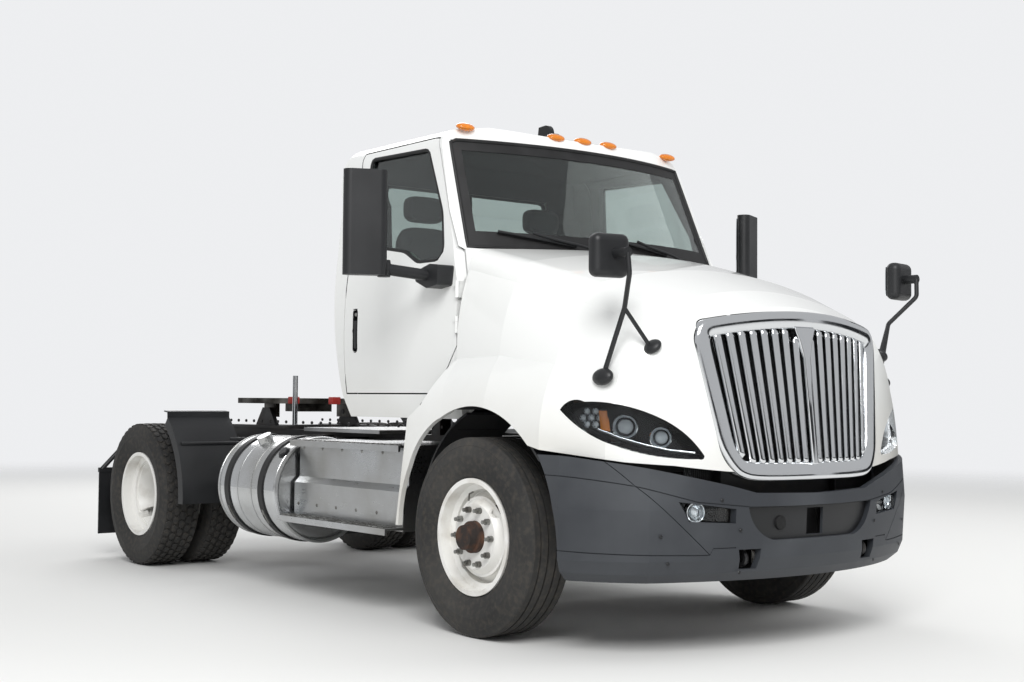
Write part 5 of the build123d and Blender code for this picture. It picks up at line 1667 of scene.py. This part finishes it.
@dataclass
class StepTrim:
    """Raised grip pads and screws on the step boxes."""

    low_y: float = -1.040
    high_y: float = 0.160
    row_pitch: float = 0.022
    pads: int = 18

    def grip(self, name: str, low_x: float, high_x: float, z: float) -> bpy.types.Object:
        """Makes one tread's rows of raised pads."""
        parts = []
        rows = max(2, int((high_x - low_x) / self.row_pitch))
        for row in range(rows):
            x = low_x + (high_x - low_x) * (row + 0.5) / rows
            for k in range(self.pads):
                y = self.low_y + 0.06 + (self.high_y - self.low_y - 0.12) * k / (self.pads - 1)
                parts.append(block(f"{name}_{row}_{k}", (x - 0.006, y - 0.022, z - 0.001),
                                   (x + 0.006, y + 0.022, z + 0.004)))
        return joined(name, parts)

    def build(self) -> None:
        """Makes both sides' treads and screws."""
        dress_both(self.grip("tread_upper", 1.060, 1.114, 0.949), BRIGHT_STEEL, "chassis")
        dress_both(self.grip("tread_lower", 1.092, 1.198, 0.495), BRIGHT_STEEL, "chassis")
        screws = []
        for k in range(6):
            y = self.low_y + 0.05 + (self.high_y - self.low_y - 0.10) * k / 5
            for x, z in ((1.046, 0.900), (1.082, 0.560)):
                head = [(0.0, 0.005), (0.007, 0.004), (0.011, 0.0), (0.0, -0.002)]
                screws.append(turned(f"screw_{k}_{z}", head, (x, y, z), (1, 0, 0), 14))
        dress_both(joined("step_screws", screws), BRIGHT_STEEL, "chassis")


@dataclass
class DeckTrim:
    """Air lines and their plate, the fenders' posts, release blocks and the rails' bolt heads."""

    coil_radius: float = 0.030
    coil_points: int = 120
    points_a_turn: int = 10
    hose_top: float = 1.62
    hose_drop: float = 0.40
    bolts_from: int = 700
    bolts_to: int = 4300
    bolt_pitch: int = 120
    bolt_z: tuple[float, float] = (0.905, 1.035)
    post_x: float = 0.56
    post_behind: float = 2880
    post_foot: float = 1.02
    post_tall: float = 0.34
    post_radius: float = 0.018

    def hoses(self) -> None:
        """Makes coiled and plain lines between the cab's back and the deck."""
        for k, (x, finish) in enumerate(((-0.16, RED_PAINT), (0.0, BLACK_AND_PAINTED_SHADE), (0.16, SEAL))):
            back, foot = from_axle(1668), 1.10
            coil = []
            for step in range(self.coil_points):
                turn = 2 * math.pi * step / self.points_a_turn
                drop = step / (self.coil_points - 1)
                behind = back + 0.045 + self.coil_radius * math.sin(turn) + 0.10 * drop * drop
                coil.append((x + self.coil_radius * math.cos(turn), behind,
                             self.hose_top - self.hose_drop * drop))
            run = [(x, back - 0.03, 1.66), (x, back + 0.04, 1.655), *coil,
                   (x * 0.8, back + 0.22, foot + 0.07), (x * 0.6, back + 0.36, foot)]
            hose = tube(f"air_line_{k}", run, 0.0075)
            dress(hose, finish, "chassis", 60)
        plate = bevel_edges(block("line_plate", (-0.24, from_axle(1630), 1.58),
                                  (0.24, from_axle(1644), 1.74)), 0.004)
        dress(plate, CHASSIS, "chassis")

    def posts(self) -> None:
        """Makes a bright post before each quarter fender."""
        for side in (1, -1):
            section = [(0.0, 0.0), (self.post_radius, 0.0), (self.post_radius, self.post_tall),
                       (0.0, self.post_tall)]
            at = (side * self.post_x, from_axle(self.post_behind), self.post_foot)
            post = turned(f"fender_post_{side}", section, at, (0, 0, 1), 20)
            dress(post, CHROME, "chassis")

    def blocks(self) -> None:
        """Makes the fifth wheel's red release blocks and the frame's bolt heads."""
        red = []
        for fy_at in (2530, 3080):
            red.append(bevel_edges(block(f"release_{fy_at}", (-0.488, from_axle(fy_at) - 0.030, 1.165),
                                         (-0.425, from_axle(fy_at) + 0.030, 1.215)), 0.005))
        dress(joined("release_blocks", red), RED_PAINT, "chassis")
        bolts = []
        for fy_at in range(self.bolts_from, self.bolts_to, self.bolt_pitch):
            for z in self.bolt_z:
                bolts.append(bar(f"rail_bolt_{fy_at}_{z}", (0.431, from_axle(fy_at), z),
                                 (0.441, from_axle(fy_at), z), 0.011, 6))
        dress_both(joined("rail_bolts", bolts), CHASSIS, "chassis")

    def build(self) -> None:
        """Makes all of the deck's pieces."""
        self.hoses()
        self.posts()
        self.blocks()


@dataclass
class TyreSize:
    """Sizes of a road tyre, 295/75 R22.5."""

    radius: float = 0.508
    half_width: float = 0.1425
    bead_radius: float = 0.286
    bead_half: float = 0.100
    groove_depth: float = 0.012

    def lower_wall(self) -> list[tuple[float, float]]:
        """The sidewall's section from the bead to the ring below the shoulder."""
        w = self.half_width
        return [(self.bead_radius, self.bead_half), (0.300, 0.106), (0.312, 0.118), (0.330, 0.1235),
                (0.334, 0.1262), (0.341, 0.1275), (0.380, w - 0.003), (0.402, w - 0.001),
                (0.406, w + 0.0005), (0.412, w + 0.0005), (0.416, w - 0.001), (0.440, w - 0.005)]


@dataclass
class RibTyre:
    """Front tyre: five ribs between four straight grooves, and ringed sidewalls."""

    side: Side
    size: TyreSize = field(default_factory=TyreSize)
    middle_x: float = 1.06
    groove_at: tuple[float, ...] = (-0.073, -0.026, 0.026, 0.073)
    groove_half: float = 0.0055
    groove_slope: float = 0.001
    steps: int = 96

    def profile(self) -> list[tuple[float, float]]:
        """Returns the section, (radius, distance from the middle), closed on itself."""
        r, w = self.size.radius - 0.001, self.size.half_width
        wall = self.size.lower_wall() + [(0.462, w - 0.011), (0.466, w - 0.010), (0.470, w - 0.0125),
                                         (r - 0.020, w - 0.019), (r - 0.007, w - 0.023),
                                         (r - 0.0015, w - 0.031)]
        tread = []
        for at in sorted(self.groove_at, reverse=True):
            crown = 0.0025 * abs(at) / 0.1
            floor = r - self.size.groove_depth
            tread += [(r - crown, at + self.groove_half), (floor, at + self.groove_half - self.groove_slope),
                      (floor, at - self.groove_half + self.groove_slope), (r - crown, at - self.groove_half)]
        other = [(radius, -along) for radius, along in reversed(wall)]
        return wall + tread + other + [(self.size.bead_radius + 0.010, 0.0), wall[0]]

    def build(self) -> None:
        """Spins the tyre and puts it for the CAD tyre."""
        word = self.side.word
        middle = (self.side.value * self.middle_x, FRONT_AXLE_Y, AXLE_Z)
        shown = turned(f"rib_tyre_{word}", self.profile(), middle, (1, 0, 0), self.steps)
        dress(shown, TYRE, f"front_wheel_{word}", 28)
        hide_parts(f"front_tyre_{word}")


@dataclass
class LugTyres:
    """Rear twin tyres: blocks in five rows over a carcass."""

    side: Side
    size: TyreSize = field(default_factory=TyreSize)
    middles: tuple[float, float] = (0.7535, 1.0965)
    rows: tuple[float, ...] = (-0.098, -0.049, 0.0, 0.049, 0.098)
    blocks_round: int = 48
    block_radius: float = 0.0275
    block_deep: float = 0.022
    block_sunk: float = 0.0125
    block_scale: tuple[float, float, float] = (0.80, 1.12, 1.0)

    def carcass(self, x: float, name: str) -> bpy.types.Object:
        """Spins one tyre without its tread blocks."""
        r, w = self.size.radius - 0.014, self.size.half_width
        wall = self.size.lower_wall() + [(0.462, w - 0.010), (0.480, w - 0.014), (r, w - 0.021)]
        other = [(radius, -along) for radius, along in reversed(wall)]
        section = wall + other + [(self.size.bead_radius + 0.010, 0.0), wall[0]]
        return turned(name, section, (x, REAR_AXLE_Y, AXLE_Z), (1, 0, 0), 72)

    def block(self, x: float, name: str) -> bpy.types.Object:
        """Adds one lug at the tyre's top: a six-sided block with rounded edges."""
        clear_selection()
        top = AXLE_Z + self.size.radius - self.block_sunk
        bpy.ops.mesh.primitive_cylinder_add(vertices=6, radius=self.block_radius, depth=self.block_deep,
                                            location=(x, REAR_AXLE_Y, top))
        made = bpy.context.object
        made.scale = self.block_scale
        made = own(name)
        return bevel_edges(made, 0.002, 1)

    def build(self) -> None:
        """Makes both tyres of the pair and puts them for the CAD tyres."""
        word = self.side.word
        parts = []
        for pair, middle in enumerate(self.middles):
            x = middle * self.side.value
            parts.append(self.carcass(x, f"carcass_{word}_{pair}"))
            for row, offset in enumerate(self.rows):
                lug = self.block(x + offset, f"lug_{word}_{pair}_{row}")
                crown = 0.0022 * (abs(offset) / 0.1) ** 2
                phase = Matrix.Rotation(math.pi / self.blocks_round * (row % 2), 4, "X")
                centre = Vector((0, REAR_AXLE_Y, AXLE_Z))
                for vertex in lug.data.vertices:
                    vertex.co = centre + phase @ (vertex.co - centre - Vector((0, 0, crown)))
                parts.append(turned_copies(lug, self.blocks_round, centre, Vector((1, 0, 0)),
                                           f"lugs_{word}_{pair}_{row}"))
        shown = joined(f"lug_tyres_{word}", parts)
        dress(shown, TYRE, f"rear_wheels_{word}", 30)
        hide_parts(f"rear_tyres_{word}")


@dataclass
class Studio:
    """Pale floor that runs into a pale backdrop, soft light, and the camera at the photograph's angle."""

    camera_at: tuple[float, float, float] = (-5.597, -7.720, 1.208)
    yaw_deg: float = 38.282
    pitch_deg: float = 2.310
    roll_deg: float = 0.440
    lens_mm: float = 50.88
    floor_hex: str = "#E6E6E4"
    sky_hex: str = "#F3F4F6"
    card_hex: str = "#1B1D20"
    sky_light: float = 0.62
    sky_seen: float = 0.95
    fade_from: float = 9.0
    fade_to: float = 20.0

    def camera(self) -> None:
        """Places the camera that matches the photograph."""
        yaw, pitch, roll = (math.radians(v) for v in (self.yaw_deg, self.pitch_deg, self.roll_deg))
        ahead = Vector((math.sin(yaw) * math.cos(pitch), math.cos(yaw) * math.cos(pitch), math.sin(pitch)))
        right = ahead.cross(Vector((0, 0, 1))).normalized()
        up = right.cross(ahead)
        level = math.cos(roll) * right + math.sin(roll) * up
        top = math.cos(roll) * up - math.sin(roll) * right
        data = bpy.data.cameras.new("camera")
        data.lens = self.lens_mm
        data.sensor_width = 36.0
        data.clip_end = 200.0
        shown = bpy.data.objects.new("camera", data)
        bpy.context.scene.collection.objects.link(shown)
        basis = Matrix((level, top, -ahead)).transposed().to_4x4()
        shown.matrix_world = Matrix.Translation(self.camera_at) @ basis
        bpy.context.scene.camera = shown

    def floor(self) -> None:
        """Adds a wide pale floor that fades into the backdrop with distance."""
        bpy.ops.mesh.primitive_plane_add(size=160, location=(0, 0, -0.001))
        ground = bpy.context.object
        ground.name = "studio_floor"
        material = bpy.data.materials.new("studio_floor")
        material.use_nodes = True
        tree = material.node_tree
        shader = tree.nodes["Principled BSDF"]
        shader.inputs["Base Color"].default_value = linear(self.floor_hex)
        shader.inputs["Roughness"].default_value = 0.9
        shader.inputs["Specular IOR Level"].default_value = 0.15
        place = add_node(tree, "ShaderNodeTexCoord")
        reach = add_node(tree, "ShaderNodeVectorMath", {"operation": "LENGTH"}, i0=place.outputs["Object"])
        share = add_node(tree, "ShaderNodeMapRange", {"interpolation_type": "SMOOTHSTEP"},
                         Value=reach.outputs["Value"], From_Min=self.fade_from, From_Max=self.fade_to)
        clear = add_node(tree, "ShaderNodeBsdfTransparent")
        add_node(tree, "ShaderNodeMixShader", None,
                 {"Shader": tree.nodes["Material Output"].inputs["Surface"]},
                 Fac=share.outputs["Result"], i1=shader.outputs["BSDF"],
                 i2=clear.outputs["BSDF"])
        ground.data.materials.append(material)

    def card(self, name: str, at: tuple[float, float, float], wide: float, tall: float,
             turn_deg: float) -> None:
        """Stands a dark card that only shows in glossy surfaces, for the chrome to draw lines from.

        Args:
            name: The card's name.
            at: Its middle.
            wide: Its width in metres.
            tall: Its height in metres.
            turn_deg: How far it is turned about the vertical.
        """
        bpy.ops.mesh.primitive_plane_add(size=1, location=at,
                                         rotation=(math.radians(90), 0, math.radians(turn_deg)))
        shown = bpy.context.object
        shown.name = name
        shown.scale = (wide, tall, 1)
        material = bpy.data.materials.new(name)
        material.use_nodes = True
        shader = material.node_tree.nodes["Principled BSDF"]
        shader.inputs["Base Color"].default_value = linear(self.card_hex)
        shader.inputs["Roughness"].default_value = 1.0
        shown.data.materials.append(material)
        shown.visible_camera = False
        shown.visible_diffuse = False
        shown.visible_shadow = False
        shown.visible_transmission = False

    def world(self) -> None:
        """Gives an even pale sky, dimmer as a light than as a background."""
        world = bpy.data.worlds.new("studio")
        world.use_nodes = True
        tree = world.node_tree
        tree.nodes.clear()
        sky = linear(self.sky_hex)
        dim = add_node(tree, "ShaderNodeBackground", Color=sky, Strength=self.sky_light)
        pale = add_node(tree, "ShaderNodeBackground", Color=sky, Strength=self.sky_seen)
        path = add_node(tree, "ShaderNodeLightPath")
        seen = add_node(tree, "ShaderNodeMath", {"operation": "MAXIMUM"}, i0=path.outputs["Is Camera Ray"],
                        i1=path.outputs["Is Transmission Ray"])
        out = add_node(tree, "ShaderNodeOutputWorld")
        add_node(tree, "ShaderNodeMixShader", None, {"Shader": out.inputs["Surface"]},
                 Fac=seen.outputs["Value"], i1=dim.outputs["Background"],
                 i2=pale.outputs["Background"])
        bpy.context.scene.world = world

    def lamp(self, name: str, place: tuple[float, float, float], size: float, watts: float,
             mirrored: bool = True) -> None:
        """Adds a soft area lamp that looks at the vehicle's middle.

        Args:
            name: The lamp's name.
            place: Where it hangs.
            size: Its side in metres.
            watts: Its power.
            mirrored: Whether glass and chrome show its reflection.
        """
        data = bpy.data.lights.new(name, "AREA")
        data.size = size
        data.energy = watts
        shown = bpy.data.objects.new(name, data)
        bpy.context.scene.collection.objects.link(shown)
        shown.location = place
        shown.visible_glossy = mirrored
        shown.rotation_mode = "QUATERNION"
        shown.rotation_quaternion = (Vector((0, 0, 1.2)) - Vector(place)).to_track_quat("-Z", "Y")

    def build(self) -> None:
        """Makes the whole studio."""
        self.camera()
        self.floor()
        self.world()
        self.card("card_ahead", (0.0, -12.0, 1.0), 20.0, 1.7, 0)
        self.card("card_left", (11.0, -2.0, 1.2), 16.0, 2.2, 90)
        self.card("card_right", (-12.0, 3.0, 0.9), 14.0, 1.6, 90)
        self.lamp("key", (-7.0, -9.0, 9.0), 6.0, 1150)
        self.lamp("fill", (9.0, -6.0, 7.0), 8.0, 450, mirrored=False)
        self.lamp("back", (4.0, 10.0, 8.0), 8.0, 500)
        bpy.context.scene.view_settings.view_transform = "Standard"


def main() -> None:
    """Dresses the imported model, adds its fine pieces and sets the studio."""
    logging.basicConfig(level=logging.INFO, format="%(message)s")
    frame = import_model()
    dress_nodes(frame)
    for side in Side:
        RibTyre(side).build()
        LugTyres(side).build()
        WheelFittings(side).build(frame)
    Nose().build()
    Headlamp().build()
    BumperFittings().build(frame)
    Glazing().build()
    CabInterior().build(frame)
    DoorFittings().build()
    TankTrim().build()
    StepTrim().build()
    DeckTrim().build()
    Studio().build()


if __name__ == "__main__":
    main()
